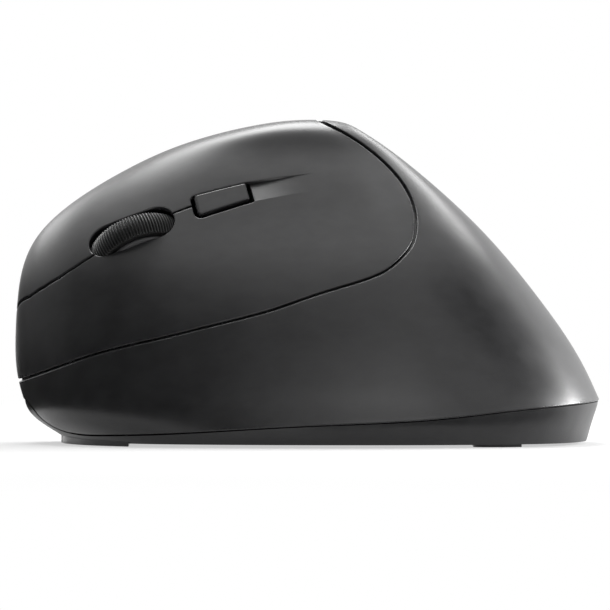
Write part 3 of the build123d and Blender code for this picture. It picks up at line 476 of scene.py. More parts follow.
        # closed shell: outer surface with round edges, inner surface, and the rim between them
        steps = surface["roundSteps"]
        for edge in self.edges:
            for k in range(1, steps + 1):
                if edge["rounded"]:
                    self.cut(edge, radius * (1 - math.cos(math.pi / 2 * k / steps)))
        count = len(self.disc)
        depth, lean, nearest = np.zeros(count), np.zeros(count), np.full(count, np.inf)
        out = np.zeros((count, 3))
        for edge in self.edges:
            if not edge["rounded"]:
                continue
            scale = np.ones(count) if edge["fade"] is None else edge["fade"](self.place)
            near = np.clip(1 - edge["signed"] / radius, 0, 1)
            drop = radius * (1 - np.sqrt(1 - near**2)) * scale
            along = edge["way"] - np.sum(edge["way"] * self.normal, axis=1, keepdims=True) * self.normal
            along = along / np.maximum(np.linalg.norm(along, axis=1, keepdims=True), 1e-9)
            more = drop > depth
            depth, lean = np.where(more, drop, depth), np.where(more, near * scale, lean)
            out[more] = -along[more]
            nearest = np.minimum(nearest, edge["signed"] + (1 - scale))
        normals = out * lean[:, None] + self.normal * np.sqrt(1 - lean[:, None]**2)
        if lower is not None:
            depth = depth + lower(self.place)
        outer = self.place + (rise - depth)[:, None] * self.normal
        if lower is not None:
            normals = pointNormals(outer, self.faces)
        sides, back = self.sides()
        single = np.bincount(back.ravel(), minlength=len(sides)) == 1
        a, b = sides[single].T
        faces = np.vstack([self.faces, self.faces[:, ::-1] + count,
                           np.column_stack([b, a, a + count]), np.column_stack([b, a + count, b + count])])
        points = np.vstack([outer, self.place - wall * self.normal])
        edgeNear = np.clip(1 - nearest / (surface["edgeReach"] * radius), 0, 1)
        return points, faces, np.vstack([normals, -self.normal]), np.concatenate([edgeNear, 0 * edgeNear])


def pointNormals(points, faces):
    ends = points[faces]
    across = np.cross(ends[:, 1] - ends[:, 0], ends[:, 2] - ends[:, 0])
    total = np.zeros_like(points)
    for k in range(3):
        np.add.at(total, faces[:, k], across)
    return total / np.maximum(np.linalg.norm(total, axis=1, keepdims=True), 1e-12)


def meshPiece(name, *shells):
    # one object from closed shells, each with its points, triangles, normals and closeness to an edge
    first = np.cumsum([0] + [len(shell[0]) for shell in shells])
    points, normals, edge = (np.concatenate([shell[k] for shell in shells]) for k in (0, 2, 3))
    faces = np.vstack([shell[1] + low for shell, low in zip(shells, first)])
    mesh = bpy.data.meshes.new(name)
    mesh.from_pydata((points * mm).tolist(), [], faces.tolist())
    mesh.attributes.new("edge", "FLOAT", "POINT").data.foreach_set("value", edge.astype(np.float32))
    mesh.shade_smooth()
    mesh.normals_split_custom_set_from_vertices(normals.tolist())
    piece = bpy.data.objects.new(name, mesh)
    bpy.context.scene.collection.objects.link(piece)
    return piece


def farPolygon(line, *closing):
    # region bounded by a smooth line and by straight lines far outside the body
    return np.vstack([smoothLine(line), closing])


def roundedCorners(corners, radii):
    # polygon whose corners are arcs
    corners = np.array(corners, float)
    made = []
    for k, radius in enumerate(radii):
        here, back, ahead = corners[k], corners[k - 1], corners[(k + 1) % len(corners)]
        toBack, toAhead = ((end - here) / np.linalg.norm(end - here) for end in (back, ahead))
        half = math.acos(np.clip(toBack @ toAhead, -1, 1)) / 2
        middle = here + (toBack + toAhead) / np.linalg.norm(toBack + toAhead) * radius / math.sin(half)
        start, end = here + toBack * radius / math.tan(half), here + toAhead * radius / math.tan(half)
        for share in np.linspace(0, 1, surface["arcSteps"] + 1):
            way = (1 - share) * (start - middle) + share * (end - middle)
            made.append(middle + way / np.linalg.norm(way) * radius)
    return np.array(made)


def seen(px, py):
    # place in millimetres, along and up, of a pixel of the photo
    scale = view["length"] / view["lengthPixels"]
    return (view["middlePixel"] - px) * scale, (view["floorPixel"] - py) * scale


def onPlane(plane, places):
    # places seen from the finger side, brought onto a plane through the surface
    return [plane.local(spot(*place)[0])[:2] for place in places]


# Seams of the finger cover, the line of the base, and the openings
seams = {"gap": 0.55, "slit": 0.55, "edgeRadius": 0.24, "coverWall": 2.0, "shellWall": 2.2, "lipTop": 0.7,
         "lipPlay": 0.08, "sillTop": 0.25, "sillReach": 1.2, "sillWall": 0.7, "noseFrom": 49.0, "far": 90.0}
far = seams["far"]
sideLine = [(along * halfLength, up * height) for along, up in seamShares]
ridgeLine = [(across * halfWidth, along * halfLength) for along, across in ridgeSeamShares]
partingLine = [(along * halfLength, up * height) for along, up in partingShares]


def coverRegion(grow):
    side = farPolygon(sideLine, (far, sideLine[-1][1]), (far, far), (sideLine[0][0], far))
    above = farPolygon(ridgeLine, (-far, ridgeLine[-1][1]), (-far, ridgeLine[0][1]))
    return bothOf(polygonShape(sideView, side, grow), polygonShape(fromAbove, above, grow))


def overParting(grow=0.0):
    line = farPolygon(partingLine, (partingLine[-1][0], far), (partingLine[0][0], far))
    return polygonShape(sideView, line, grow)


keys = {
    "slitPixels": [(18.2, 304.3), (30.0, 296.5), (45.0, 286.5), (60.0, 277.0), (75.0, 267.0), (90.2, 256.9),
                   (174.8, 211.9), (190.3, 206.1)],
    "creasePixels": [(251.0, 201.6), (254.0, 201.0), (287.0, 194.6), (325.0, 189.0), (365.0, 184.0),
                     (420.0, 180.0)],
    "rootY": -29.0, "bendHalf": 5.0, "fineReach": 9.0, "fineEdge": 0.9,
}
wheel = {"radius": 11.7, "width": 5.7, "shift": 0.25, "depth": 9.0, "tyreDepth": 2.0, "shoulder": 0.4,
         "crown": 0.5, "ribs": 112, "ribDepth": 0.5, "ribFade": 0.4, "ribMiddle": 0.5, "ribSlope": 0.9,
         "ribSteps": 8, "profile": 26}
slot = {"length": 18.6, "width": 8.3, "shift": 1.2, "along": -0.15, "turn": -3.5, "round": 4.0}
speed = {
    "cornerPixels": [(189.6, 196.0), (248.6, 181.2), (254.4, 201.2), (196.0, 219.6)],
    "cornerRadii": [1.3, 0.35, 0.35, 1.6],
    "capGaps": [0.35, 0.75, 1.15, 0.75], "capRadii": [0.7, 0.3, 0.3, 0.7],
    "rise": 0.15, "edgeRadius": 0.3, "bevel": 0.55, "bevelDepth": 0.3, "wall": 2.4,
    "margin": 1.0, "fineReach": 11.0, "openingEdge": 0.45, "capEdge": 0.3,
}
groove = {"tailPixels": (314.0, 173.0), "depth": 0.8, "wallFade": 1.1, "overlap": 1.0, "pastDivide": 2.0}


def speedMiddle():
    places = onPlane(keyPlane, [seen(*pixel) for pixel in speed["cornerPixels"]])
    return float(np.mean([place[1] for place in places]))


def divideShape(side):
    # the line between the keys: a slit in front of the speed button, only a crease behind it
    places = [seen(*pixel) for pixel in keys["slitPixels"] + keys["creasePixels"]]
    line = np.array(onPlane(keyPlane, places))
    start = line[0] + (line[0] - line[1]) / (line[0] - line[1])[1] * (far - line[0][1])
    end = (line[-1][0], -far)
    corners = np.vstack([start, line, end, (side * far, -far), (side * far, far)])
    shape = polygonShape(keyPlane, corners)
    inFront = speedMiddle()

    def measure(points):
        signed, way = shape(points)
        return signed - seams["slit"] / 2 * (keyPlane.local(points)[:, 1] > inFront), way

    return measure


def slitFade(points):
    return (keyPlane.local(points)[:, 1] > speedMiddle()).astype(float)


def speedCorners():
    return np.array(onPlane(speedPlane, [seen(*pixel) for pixel in speed["cornerPixels"]]))


def grooveEnds():
    # upper and lower corner of the button's rear end, tail of the groove's wall, and end of its crease
    pixels = [*speed["cornerPixels"][1:3], groove["tailPixels"], keys["creasePixels"][3]]
    return onPlane(speedPlane, [seen(*pixel) for pixel in pixels])


def grooveCorners():
    # starts inside the button's opening and reaches just past the divide
    high, low, tail, end = grooveEnds()
    over, past = groove["overlap"], groove["pastDivide"]
    return np.array([high + (0, over), tail, end - (past, 0), low + (-past, over)])


def smooth(share):
    share = np.clip(share, 0, 1)
    return share * share * (3 - 2 * share)


def nearDivide(points):
    return np.abs(keyPlane.local(points)[:, 0]) < keys["fineReach"]


def nearSpeedButton(points):
    return np.linalg.norm(points - speedPlane.origin, axis=1) < speed["fineReach"]


# Cover, cut into the part with the index key and the part with the middle key
cover = Patch()
cover.bound(coverRegion(-seams["gap"] / 2))
print("cover cut out:", len(cover.faces), "triangles")
cover.refine(nearDivide, keys["fineEdge"])
cover.refine(nearSpeedButton, speed["openingEdge"])
cover.bound(outsideOf(roundedShape(keyPlane, (slot["shift"], slot["along"]), slot["turn"],
                                   (slot["width"], slot["length"]), slot["round"])))
cover.bound(outsideOf(polygonShape(speedPlane, roundedCorners(speedCorners(), speed["cornerRadii"]))))
upper, lower = cover.copy(), cover.copy()
upper.bound(divideShape(1), fade=slitFade)
lower.bound(divideShape(-1), fade=slitFade)


def grooveShare(points):
    # how far along the groove, and how far up from the crease to its wall
    high, low, tail, end = grooveEnds()
    place = speedPlane.local(points)[:, :2]
    along = np.clip((high[1] - place[:, 1]) / (high[1] - tail[1]), 0, 1)
    crease = low[0] + (end[0] - low[0]) * np.clip((low[1] - place[:, 1]) / (low[1] - end[1]), 0, 1)
    wall = high[0] + (tail[0] - high[0]) * along
    return along, np.clip((place[:, 0] - crease) / (wall - crease), 0, 1)


def grooveDepth(points):
    along, across = grooveShare(points)
    return groove["depth"] * (1 - smooth(along)) * across


def wallFade(points):
    return 1 - smooth(grooveShare(points)[0] * groove["wallFade"])


grooveShape = polygonShape(speedPlane, grooveCorners())
ramp = upper.copy()
ramp.bound(grooveShape, rounded=False)
upper.bound(outsideOf(grooveShape), fade=wallFade)
print("keys and groove cut:", len(upper.faces), len(lower.faces), len(ramp.faces))


radius = seams["edgeRadius"]
upperCover = meshPiece("upper_cover", upper.shell(radius, seams["coverWall"]),
                       ramp.shell(radius, seams["coverWall"], lower=grooveDepth))
lowerCover = meshPiece("lower_cover", lower.shell(radius, seams["coverWall"]))
for piece, body in ((upperCover, "index_button"), (lowerCover, "middle_button")):
    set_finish(piece, "cover_plastic")
    ends = [keyPlane.world((0, keys["rootY"] + side * keys["bendHalf"], 0)) * mm for side in (-1, 1)]
    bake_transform(piece)
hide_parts("index_key", "finger_cover")
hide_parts("middle_key")
print("finger cover made")

# Palm and thumb shell
thumb = {"along": 4.0, "up": 46.4, "turn": -5.0, "length": 35.0, "height": 6.6, "round": 2.9, "gap": 0.35,
         "rise": 0.9, "split": 0.4, "edgeRadius": 0.7, "dish": 0.35, "wall": 3.1, "margin": 1.0,
         "fineReach": 2.5, "openingEdge": 0.6, "capEdge": 0.45}
lamp = {"along": 25.0, "up": 41.0, "radius": 0.9, "gap": 0.05, "fineReach": 2.4, "fineEdge": 0.25}


def thumbBar(grow):
    size = (thumb["length"] + 2 * grow, thumb["height"] + 2 * grow)
    return roundedShape(sideView, (thumb["along"], thumb["up"]), thumb["turn"], size, thumb["round"] + grow)


def onThumbSide(shape, elsewhere):
    # the shape counts only where the surface faces the thumb
    def measure(points):
        signed, way = shape(points)
        signed[points[:, 0] < levelShares[0][3] * halfWidth] = elsewhere
        return signed, way

    return measure


def nearThumbBar(points):
    away = np.abs(thumbBar(0)(points)[0])
    return (points[:, 0] > levelShares[0][3] * halfWidth) & (away < thumb["fineReach"])


def nearLamp(points):
    away = np.hypot(points[:, 1] - lamp["along"], points[:, 2] - lamp["up"])
    return (points[:, 0] > 0) & (away < lamp["fineReach"])


lampSize = 2 * (lamp["radius"] + lamp["gap"])
lampShape = roundedShape(sideView, (lamp["along"], lamp["up"]), 0, (lampSize, lampSize), lampSize / 2 - 1e-6)
palm = Patch()
palm.bound(outsideOf(coverRegion(0.0), seams["gap"] / 2))
palm.bound(overParting())
palm.refine(nearThumbBar, thumb["openingEdge"])
palm.refine(nearLamp, lamp["fineEdge"])
palm.bound(onThumbSide(outsideOf(thumbBar(thumb["gap"])), far))
palm.bound(onThumbSide(outsideOf(lampShape), far))
lip = Patch()  # closes the gap round the cover from below
lip.bound(coverRegion(seams["gap"] / 2 + seams["lipPlay"]), rounded=False)
lip.bound(outsideOf(coverRegion(seams["lipPlay"] - seams["gap"] / 2)), rounded=False)
lip.bound(overParting(), rounded=False)
sill = Patch()  # closes the line over the base at the nose
nose = seams["noseFrom"]
sill.bound(polygonShape(sideView, [(nose, -far), (far, -far), (far, far), (nose, far)]), rounded=False)
sill.bound(overParting(seams["sillReach"]), rounded=False)
sill.bound(outsideOf(overParting(-seams["lipPlay"])), rounded=False)
palmShell = meshPiece("palm_shell", palm.shell(radius, seams["shellWall"]),
                      lip.shell(radius, seams["shellWall"], -seams["lipTop"]),
                      sill.shell(radius, seams["sillWall"], -seams["sillTop"]))
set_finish(palmShell, "shell_plastic")
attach(palmShell, "base")
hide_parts("main_shell")
print("palm shell made")


def halfShape(side):
    # one end of the thumb bar, from the split outwards
    turn = math.radians(thumb["turn"])
    way = np.array([math.cos(turn), math.sin(turn)]) * side
    middle = np.array([thumb["along"], thumb["up"]]) + way * thumb["split"] / 2
    across = np.array([-way[1], way[0]])
    return polygonShape(sideView, [middle + across * far, middle - across * far,
                                   middle + (way - across) * far, middle + (way + across) * far])


def thumbDish(points):
    # each thumb button is slightly hollow along its middle
    turn = math.radians(thumb["turn"])
    up = (points[:, 2] - thumb["up"]) * math.cos(turn) - (points[:, 1] - thumb["along"]) * math.sin(turn)
    return thumb["dish"] * np.cos(np.clip(2 * up / thumb["height"], -1, 1) * math.pi / 2)


for name, side in (("front_thumb", 1), ("rear_thumb", -1)):
    button = Patch()
    button.bound(onThumbSide(thumbBar(thumb["margin"]), -far))
    button.refine(lambda p: p[:, 0] > 0, thumb["capEdge"])
    button.edges = []
    button.bound(onThumbSide(thumbBar(0.0), -far))
    button.bound(halfShape(side))
    cap = meshPiece(name + "_cap", button.shell(thumb["edgeRadius"], thumb["wall"], thumb["rise"], thumbDish))
    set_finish(cap, "button_plastic")
    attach(cap, name + "_key")
    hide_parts(name + "_button")
print("thumb buttons made")


def inset(corners, gaps):
    # polygon moved in from each of its sides by its own gap; side k runs from corner k to the next
    count = len(corners)
    area = sum(corners[k][0] * corners[(k + 1) % count][1] - corners[(k + 1) % count][0] * corners[k][1]
               for k in range(count))
    lines = []
    for k in range(count):
        run = corners[(k + 1) % count] - corners[k]
        way = np.array([-run[1], run[0]]) / np.linalg.norm(run) * np.sign(area)
        lines.append((way, way @ corners[k] + gaps[k]))
    return np.array([np.linalg.solve([lines[k - 1][0], lines[k][0]], [lines[k - 1][1], lines[k][1]])
                     for k in range(count)])


def speedBevel(points):
    # wide slope at the button's front end
    corners = inset(speedCorners(), speed["capGaps"])
    run = corners[0] - corners[3]
    way = np.array([-run[1], run[0]]) / np.linalg.norm(run)
    inside = np.abs((speedPlane.local(points)[:, :2] - corners[3]) @ way)
    return speed["bevelDepth"] * np.clip(1 - inside / speed["bevel"], 0, 1)


# the gaps round the speed button run along its top, rear, bottom and front
button = Patch()
button.bound(coverRegion(0.0))
button.bound(polygonShape(speedPlane, speedCorners(), speed["margin"]))
button.refine(lambda p: p[:, 2] > 0, speed["capEdge"])
button.edges = []
capCorners = inset(speedCorners(), speed["capGaps"])
button.bound(polygonShape(speedPlane, roundedCorners(capCorners, speed["capRadii"])))
speedCap = meshPiece("speed_cap", button.shell(speed["edgeRadius"], speed["wall"], speed["rise"], speedBevel))
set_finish(speedCap, "button_plastic")
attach(speedCap, "speed_key")
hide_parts("speed_button")
print("speed button made")


def wheelTyre():
    # ring of ribs across the tread; radii and widths in millimetres, turned about the axle
    half, corner = wheel["width"] / 2, wheel["shoulder"]
    flatHalf = half - corner
    inner = wheel["radius"] - wheel["tyreDepth"]
    rows = []
    for x in np.linspace(-flatHalf, flatHalf, wheel["profile"] // 2):
        rows.append((x, wheel["radius"] - wheel["crown"] * (x / half) ** 2, 1.0))
    edge = wheel["radius"] - wheel["crown"] * (flatHalf / half) ** 2
    for angle in np.linspace(0, math.pi / 2, wheel["profile"] // 3)[1:]:
        rows.append((flatHalf + corner * math.sin(angle), edge - corner * (1 - math.cos(angle)),
                     1 - wheel["ribFade"] * angle / (math.pi / 2)))
    rows.append((half, inner, 0.0))
    mirrored = [(-x, r, rib) for x, r, rib in rows[:wheel["profile"] // 2 - 1:-1]]
    rows = mirrored + rows
    count = wheel["ribs"] * wheel["ribSteps"]
    angles = np.arange(count) * 2 * math.pi / count
    wave = smooth(wheel["ribMiddle"] + wheel["ribSlope"] * np.cos(angles * wheel["ribs"]))
    x, r, rib = (np.array(column)[:, None] for column in zip(*rows))
    ring = r - wheel["ribDepth"] * rib * (1 - wave)
    local = np.stack([x + wheel["shift"] + 0 * ring, ring * np.cos(angles),
                      ring * np.sin(angles) - wheel["depth"]], axis=-1)
    points = keyPlane.world(local.reshape(-1, 3))
    k, i = np.meshgrid(np.arange(len(rows)), np.arange(count), indexing="ij")
    a, b = k * count + i, k * count + (i + 1) % count
    c, d = (k + 1) % len(rows) * count + (i + 1) % count, (k + 1) % len(rows) * count + i
    faces = np.vstack([np.column_stack([a.ravel(), b.ravel(), c.ravel()]),
                       np.column_stack([a.ravel(), c.ravel(), d.ravel()])])
    return points, faces, pointNormals(points, faces), 0 * points[:, 0]


tyre = meshPiece("wheel_tread", wheelTyre())
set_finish(tyre, "wheel_rubber")
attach(tyre, "wheel")
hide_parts("wheel_tyre")
print("wheel made")


class Flow:
    # a number running through a material; an expression on it adds its Math nodes
    def __init__(self, finish, socket):
        self.finish, self.socket = finish, socket

    def math(self, operation, *values):
        return self.finish.make("ShaderNodeMath", {"operation": operation}, dict(enumerate(values)))

    def __add__(self, other):
        return self.math("ADD", self, other)

    def __sub__(self, other):
        return self.math("SUBTRACT", self, other)

    def __rsub__(self, other):
        return self.math("SUBTRACT", other, self)

    def __mul__(self, other):
        return self.math("MULTIPLY", self, other)

    __radd__ = __add__
    __rmul__ = __mul__


class Finish:
    # a material, or the world, built node by node
    def __init__(self, name, owner=None):
        self.owner = owner or bpy.data.materials.new(name)
        self.owner.use_nodes = True
        self.tree = self.owner.node_tree
        self.tree.nodes.clear()

    def make(self, kind, settings=None, inputs=None, output=0):
        # settings first, then the values or links of the sockets
        node = self.tree.nodes.new(kind)
        for key, value in (settings or {}).items():
            setattr(node, key, value)
        for key, value in (inputs or {}).items():
            if isinstance(value, Flow):
                self.tree.links.new(value.socket, node.inputs[key])
            else:
                node.inputs[key].default_value = value
        return Flow(self, node.outputs[output]) if len(node.outputs) else node

    def place(self, stretch=(1, 1, 1)):
        # place on the object in millimetres
        where = self.make("ShaderNodeTexCoord", output=3)
        return self.make("ShaderNodeVectorMath", {"operation": "MULTIPLY"},
                         {0: where, 1: tuple(side / mm for side in stretch)})

    def noise(self, size, detail=2.0, roughness=0.5, stretch=(1, 1, 1)):
        # cloudy pattern whose spots are about size millimetres
        return self.make("ShaderNodeTexNoise", {"noise_dimensions": "3D"},
                         {"Vector": self.place(stretch), "Scale": 1 / size, "Detail": detail,
                          "Roughness": roughness})

    def ramp(self, value, low, high):
        return self.make("ShaderNodeMapRange", {"interpolation_type": "SMOOTHSTEP"},
                         {0: value, 1: low, 2: high})

    def mix(self, first, second, share):
        return self.make("ShaderNodeMix", {"data_type": "RGBA"}, {0: share, 6: first, 7: second}, output=2)

    def bump(self, value, depth):
        # depth in millimetres
        return self.make("ShaderNodeBump", None, {"Strength": 1.0, "Distance": depth * mm, "Height": value})

    def surface(self, **sockets):
        inputs = {key.replace("_", " "): value for key, value in sockets.items()}
        shader = self.make("ShaderNodeBsdfPrincipled", None, inputs)
        self.make("ShaderNodeOutputMaterial", None, {0: shader})
        return self.owner


def solid(colour):
    return (*colour, 1.0)


plastics = {
    "shell_plastic": {"colour": (0.019, 0.019, 0.020), "roughness": 0.34, "grain": 0.28, "depth": 0.012},
    "cover_plastic": {"colour": (0.019, 0.019, 0.020), "roughness": 0.34, "grain": 0.22, "depth": 0.010},
    "base_plastic": {"colour": (0.018, 0.018, 0.019), "roughness": 0.36, "grain": 0.32, "depth": 0.014},
    "button_plastic": {"colour": (0.020, 0.020, 0.021), "roughness": 0.33, "grain": 0.20, "depth": 0.006},
    "inner_plastic": {"colour": (0.050, 0.050, 0.052), "roughness": 0.55, "grain": 0.45, "depth": 0.015},
    "plunger_plastic": {"colour": (0.50, 0.08, 0.06), "roughness": 0.45, "grain": 0.30, "depth": 0.006},
    "foot_plastic": {"colour": (0.035, 0.035, 0.037), "roughness": 0.30, "grain": 0.60, "depth": 0.004},
    "chip_resin": {"colour": (0.030, 0.030, 0.032), "roughness": 0.52, "grain": 0.12, "depth": 0.010},
    "cell_sleeve": {"colour": (0.080, 0.090, 0.100), "roughness": 0.32, "grain": 0.80, "depth": 0.004},
}
wearAndEdgeHighlight = {"smudgeSize": 14.0, "smudge": 0.07, "cloudSize": 3.5, "cloud": 0.03, "cloudStretch": (1, 0.6, 1),
        "cloudBump": 0.3, "dustSize": 0.9, "dust": 0.25, "dustFrom": 0.66, "dustTo": 0.78, "dustLight": 0.01,
        "dustRough": 0.2, "edgeFrom": 0.35, "edgeTo": 0.6, "edgeWearAndHighlight": 0.5, "edgeGloss": 0.10,
        "shade": 0.16, "shadeFrom": 0.3, "shadeTo": 0.7}


def plasticFinish(name, look):
    # moulded grain, faint hand marks, a little dust, and lighter edges: partly rubbed wear, partly a painted
    # highlight along them
    finish = Finish(name)
    smudge = finish.noise(wearAndEdgeHighlight["smudgeSize"], 3.0, 0.55)
    cloud = finish.noise(wearAndEdgeHighlight["cloudSize"], 4.0, 0.6, wearAndEdgeHighlight["cloudStretch"])
    grain = finish.noise(look["grain"], 2.0, 0.6)
    dust = finish.ramp(finish.noise(wearAndEdgeHighlight["dustSize"], 5.0, 0.7), wearAndEdgeHighlight["dustFrom"], wearAndEdgeHighlight["dustTo"])
    edge = finish.make("ShaderNodeAttribute", {"attribute_name": "edge"}, output=2)
    # mask near the edges for the rubbed wear and the painted edge highlight
    rubbedAndHighlitEdge = edge * finish.ramp(cloud, wearAndEdgeHighlight["edgeFrom"], wearAndEdgeHighlight["edgeTo"])
    base = look["colour"]
    darker = tuple(part * (1 - wearAndEdgeHighlight["shade"]) for part in base)
    lighter = tuple(part * (1 + wearAndEdgeHighlight["shade"]) for part in base)
    # lighter colour at the edges: partly rubbed wear, partly a painted highlight
    worn = tuple(part * (1 + wearAndEdgeHighlight["edgeWearAndHighlight"]) for part in base)
    dusty = tuple(part + wearAndEdgeHighlight["dustLight"] for part in base)
    shade = finish.ramp(cloud, wearAndEdgeHighlight["shadeFrom"], wearAndEdgeHighlight["shadeTo"])
    colour = finish.mix(solid(darker), solid(lighter), shade)
    colour = finish.mix(colour, solid(dusty), dust * wearAndEdgeHighlight["dust"])
    # painted highlight and rubbed wear along the edges
    colour = finish.mix(colour, solid(worn), rubbedAndHighlitEdge)
    roughness = look["roughness"] + (smudge - 0.5) * (2 * wearAndEdgeHighlight["smudge"])
    roughness = roughness + (cloud - 0.5) * (2 * wearAndEdgeHighlight["cloud"])
    roughness = roughness + dust * wearAndEdgeHighlight["dust"] * wearAndEdgeHighlight["dustRough"] - rubbedAndHighlitEdge * wearAndEdgeHighlight["edgeGloss"]
    return finish.surface(Base_Color=colour, Roughness=roughness, IOR=1.5,
                          Normal=finish.bump(grain + wearAndEdgeHighlight["cloudBump"] * cloud, look["depth"]))


rubber = {"colour": (0.012, 0.012, 0.012), "dusty": (0.045, 0.044, 0.042), "roughness": 0.44,
          "roughSpread": 0.2, "grain": 0.10, "depth": 0.02, "patch": 2.2, "wornFrom": 0.45, "wornTo": 0.75,
          "worn": 0.35}


def rubberFinish(name):
    finish = Finish(name)
    grain = finish.noise(rubber["grain"], 3.0, 0.6)
    patches = finish.noise(rubber["patch"], 3.0, 0.6)
    worn = finish.ramp(patches, rubber["wornFrom"], rubber["wornTo"]) * rubber["worn"]
    colour = finish.mix(solid(rubber["colour"]), solid(rubber["dusty"]), worn * grain)
    roughness = rubber["roughness"] + (patches - 0.5) * rubber["roughSpread"]
    return finish.surface(Base_Color=colour, Roughness=roughness,
                          Normal=finish.bump(grain, rubber["depth"]))


metals = {
    "steel": {"colour": (0.56, 0.56, 0.57), "roughness": 0.28, "stretch": (1, 1, 0.1)},
    "contact_metal": {"colour": (0.62, 0.60, 0.55), "roughness": 0.34, "stretch": (1, 0.1, 1)},
}
rolled = {"line": 0.12, "lineRough": 0.12, "lineDepth": 0.006, "patch": 1.6, "patchRough": 0.24,
          "patchFrom": 0.45, "patchTo": 0.7, "dull": 0.7}


def metalFinish(name, look):
    # drawn or rolled metal: fine lines one way, with dull patches
    finish = Finish(name)
    lines = finish.noise(rolled["line"], 2.0, 0.6, look["stretch"])
    patches = finish.noise(rolled["patch"], 3.0, 0.6)
    dull = tuple(part * rolled["dull"] for part in look["colour"])
    share = finish.ramp(patches, rolled["patchFrom"], rolled["patchTo"])
    colour = finish.mix(solid(look["colour"]), solid(dull), share)
    roughness = look["roughness"] + (patches - 0.5) * rolled["patchRough"]
    roughness = roughness + (lines - 0.5) * rolled["lineRough"]
    return finish.surface(Base_Color=colour, Roughness=roughness, Metallic=1.0,
                          Normal=finish.bump(lines, rolled["lineDepth"]))


board = {"mask": (0.012, 0.085, 0.045), "trace": (0.020, 0.140, 0.075), "pad": (0.62, 0.60, 0.52),
         "pitch": 1.5, "padSpread": 0.35, "laneSpread": 0.6, "laneEdges": (0.42, 0.46, 0.54, 0.58),
         "padEdges": (0.13, 0.15), "patch": 6.0, "patchEdges": (0.52, 0.56), "weave": 0.35,
         "traceHeight": 0.5, "weaveHeight": 0.2, "roughness": 0.34, "roughSpread": 0.12, "depth": 0.03}


def boardFinish(name):
    # solder mask over traces, with tinned pads
    finish = Finish(name)
    where = finish.place()
    cells = finish.make("ShaderNodeTexVoronoi", {"distance": "CHEBYCHEV"},
                        {"Vector": where, "Scale": 1 / board["pitch"], "Randomness": board["padSpread"]})
    lanes = finish.make("ShaderNodeTexVoronoi", {"distance": "MANHATTAN"},
                        {"Vector": where, "Scale": 0.5 / board["pitch"], "Randomness": board["laneSpread"]})
    edges = board["laneEdges"]
    trace = finish.ramp(lanes, edges[0], edges[1]) - finish.ramp(lanes, edges[2], edges[3])
    pad = 1 - finish.ramp(cells, *board["padEdges"])
    some = finish.ramp(finish.noise(board["patch"], 1.0), *board["patchEdges"])
    weave = finish.noise(board["weave"], 2.0, 0.5)
    colour = finish.mix(solid(board["mask"]), solid(board["trace"]), trace)
    colour = finish.mix(colour, solid(board["pad"]), pad * some)
    height = board["traceHeight"] * trace + pad * some + board["weaveHeight"] * weave
    roughness = board["roughness"] + (weave - 0.5) * board["roughSpread"]
    return finish.surface(Base_Color=colour, Roughness=roughness, Metallic=pad * some,
                          Normal=finish.bump(height, board["depth"]))


lampLook = {"colour": (0.30, 0.31, 0.31), "roughness": 0.45, "roughSpread": 0.2, "frost": 0.3, "shade": 0.8,
            "glow": 0.2, "glowReach": 0.001, "depth": 0.01}
lensLook = {"colour": (0.93, 0.95, 0.97), "roughness": 0.08, "ripple": 1.8, "clear": 0.9, "depth": 0.02}


def lampFinish(name):
    finish = Finish(name)
    frost = finish.noise(lampLook["frost"], 3.0, 0.6)
    shaded = tuple(lampLook["shade"] * part for part in lampLook["colour"])
    colour = finish.mix(solid(lampLook["colour"]), solid(shaded), frost)
    roughness = lampLook["roughness"] + (frost - 0.5) * lampLook["roughSpread"]
    return finish.surface(Base_Color=colour, Roughness=roughness, Subsurface_Weight=lampLook["glow"],
                          Subsurface_Scale=lampLook["glowReach"],
                          Normal=finish.bump(frost, lampLook["depth"]))


def lensFinish(name):
    finish = Finish(name)
    ripple = finish.noise(lensLook["ripple"], 2.0, 0.5)
    roughness = lensLook["roughness"] + ripple * lensLook["roughness"]
    return finish.surface(Base_Color=solid(lensLook["colour"]), Roughness=roughness, IOR=1.49,
                          Transmission_Weight=lensLook["clear"],
                          Normal=finish.bump(ripple, lensLook["depth"]))


finishes = {name: plasticFinish(name, look) for name, look in plastics.items()}
finishes.update({name: metalFinish(name, look) for name, look in metals.items()})
finishes["wheel_rubber"] = rubberFinish("wheel_rubber")
finishes["board_laminate"] = boardFinish("board_laminate")
finishes["lamp_plastic"] = lampFinish("lamp_plastic")
finishes["lens_plastic"] = lensFinish("lens_plastic")
slotOf = {part["node"]: part["material_slot"] for part in frame["record"]["subparts"]}
for name, node in nodes.items():
    node.data.materials.clear()
    node.data.materials.append(finishes[slotOf[name]])
for piece in bpy.context.scene.objects:
    if "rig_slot" in piece and piece.name not in nodes:
        piece.data.materials.append(finishes[piece["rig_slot"]])
print("finishes made:", len(finishes))

studio = {
    "floorColour": (0.86, 0.86, 0.86), "floorHalf": 8.0,
    "floorWhite": 0.55, "whiteFrom": 0.06, "whiteTo": 0.35, "worldDiffuse": 0.16,
    "lights": {
        "behind": {"place": (0.64, 0.13, 1.05), "aim": (0, 0, 0.03), "size": (0.62, 0.58), "radiance": 11.0},
        "rearHigh": {"place": (0.81, -0.43, 0.80), "aim": (0, 0, 0.03), "size": (0.35, 0.3), "radiance": 9.0},
        "rearSide": {"place": (0.34, -1.12, 0.31), "aim": (0, -0.02, 0.03), "size": (0.9, 0.32),
                     "radiance": 30.0},
        "fill": {"place": (-1.3, -0.05, 0.75), "aim": (0, 0, 0.03), "size": (0.5, 0.5), "radiance": 1.6},
        "nose": {"place": (0.85, 0.66, 0.62), "aim": (0, 0, 0.03), "size": (0.5, 0.35), "radiance": 3.4},
    },
}
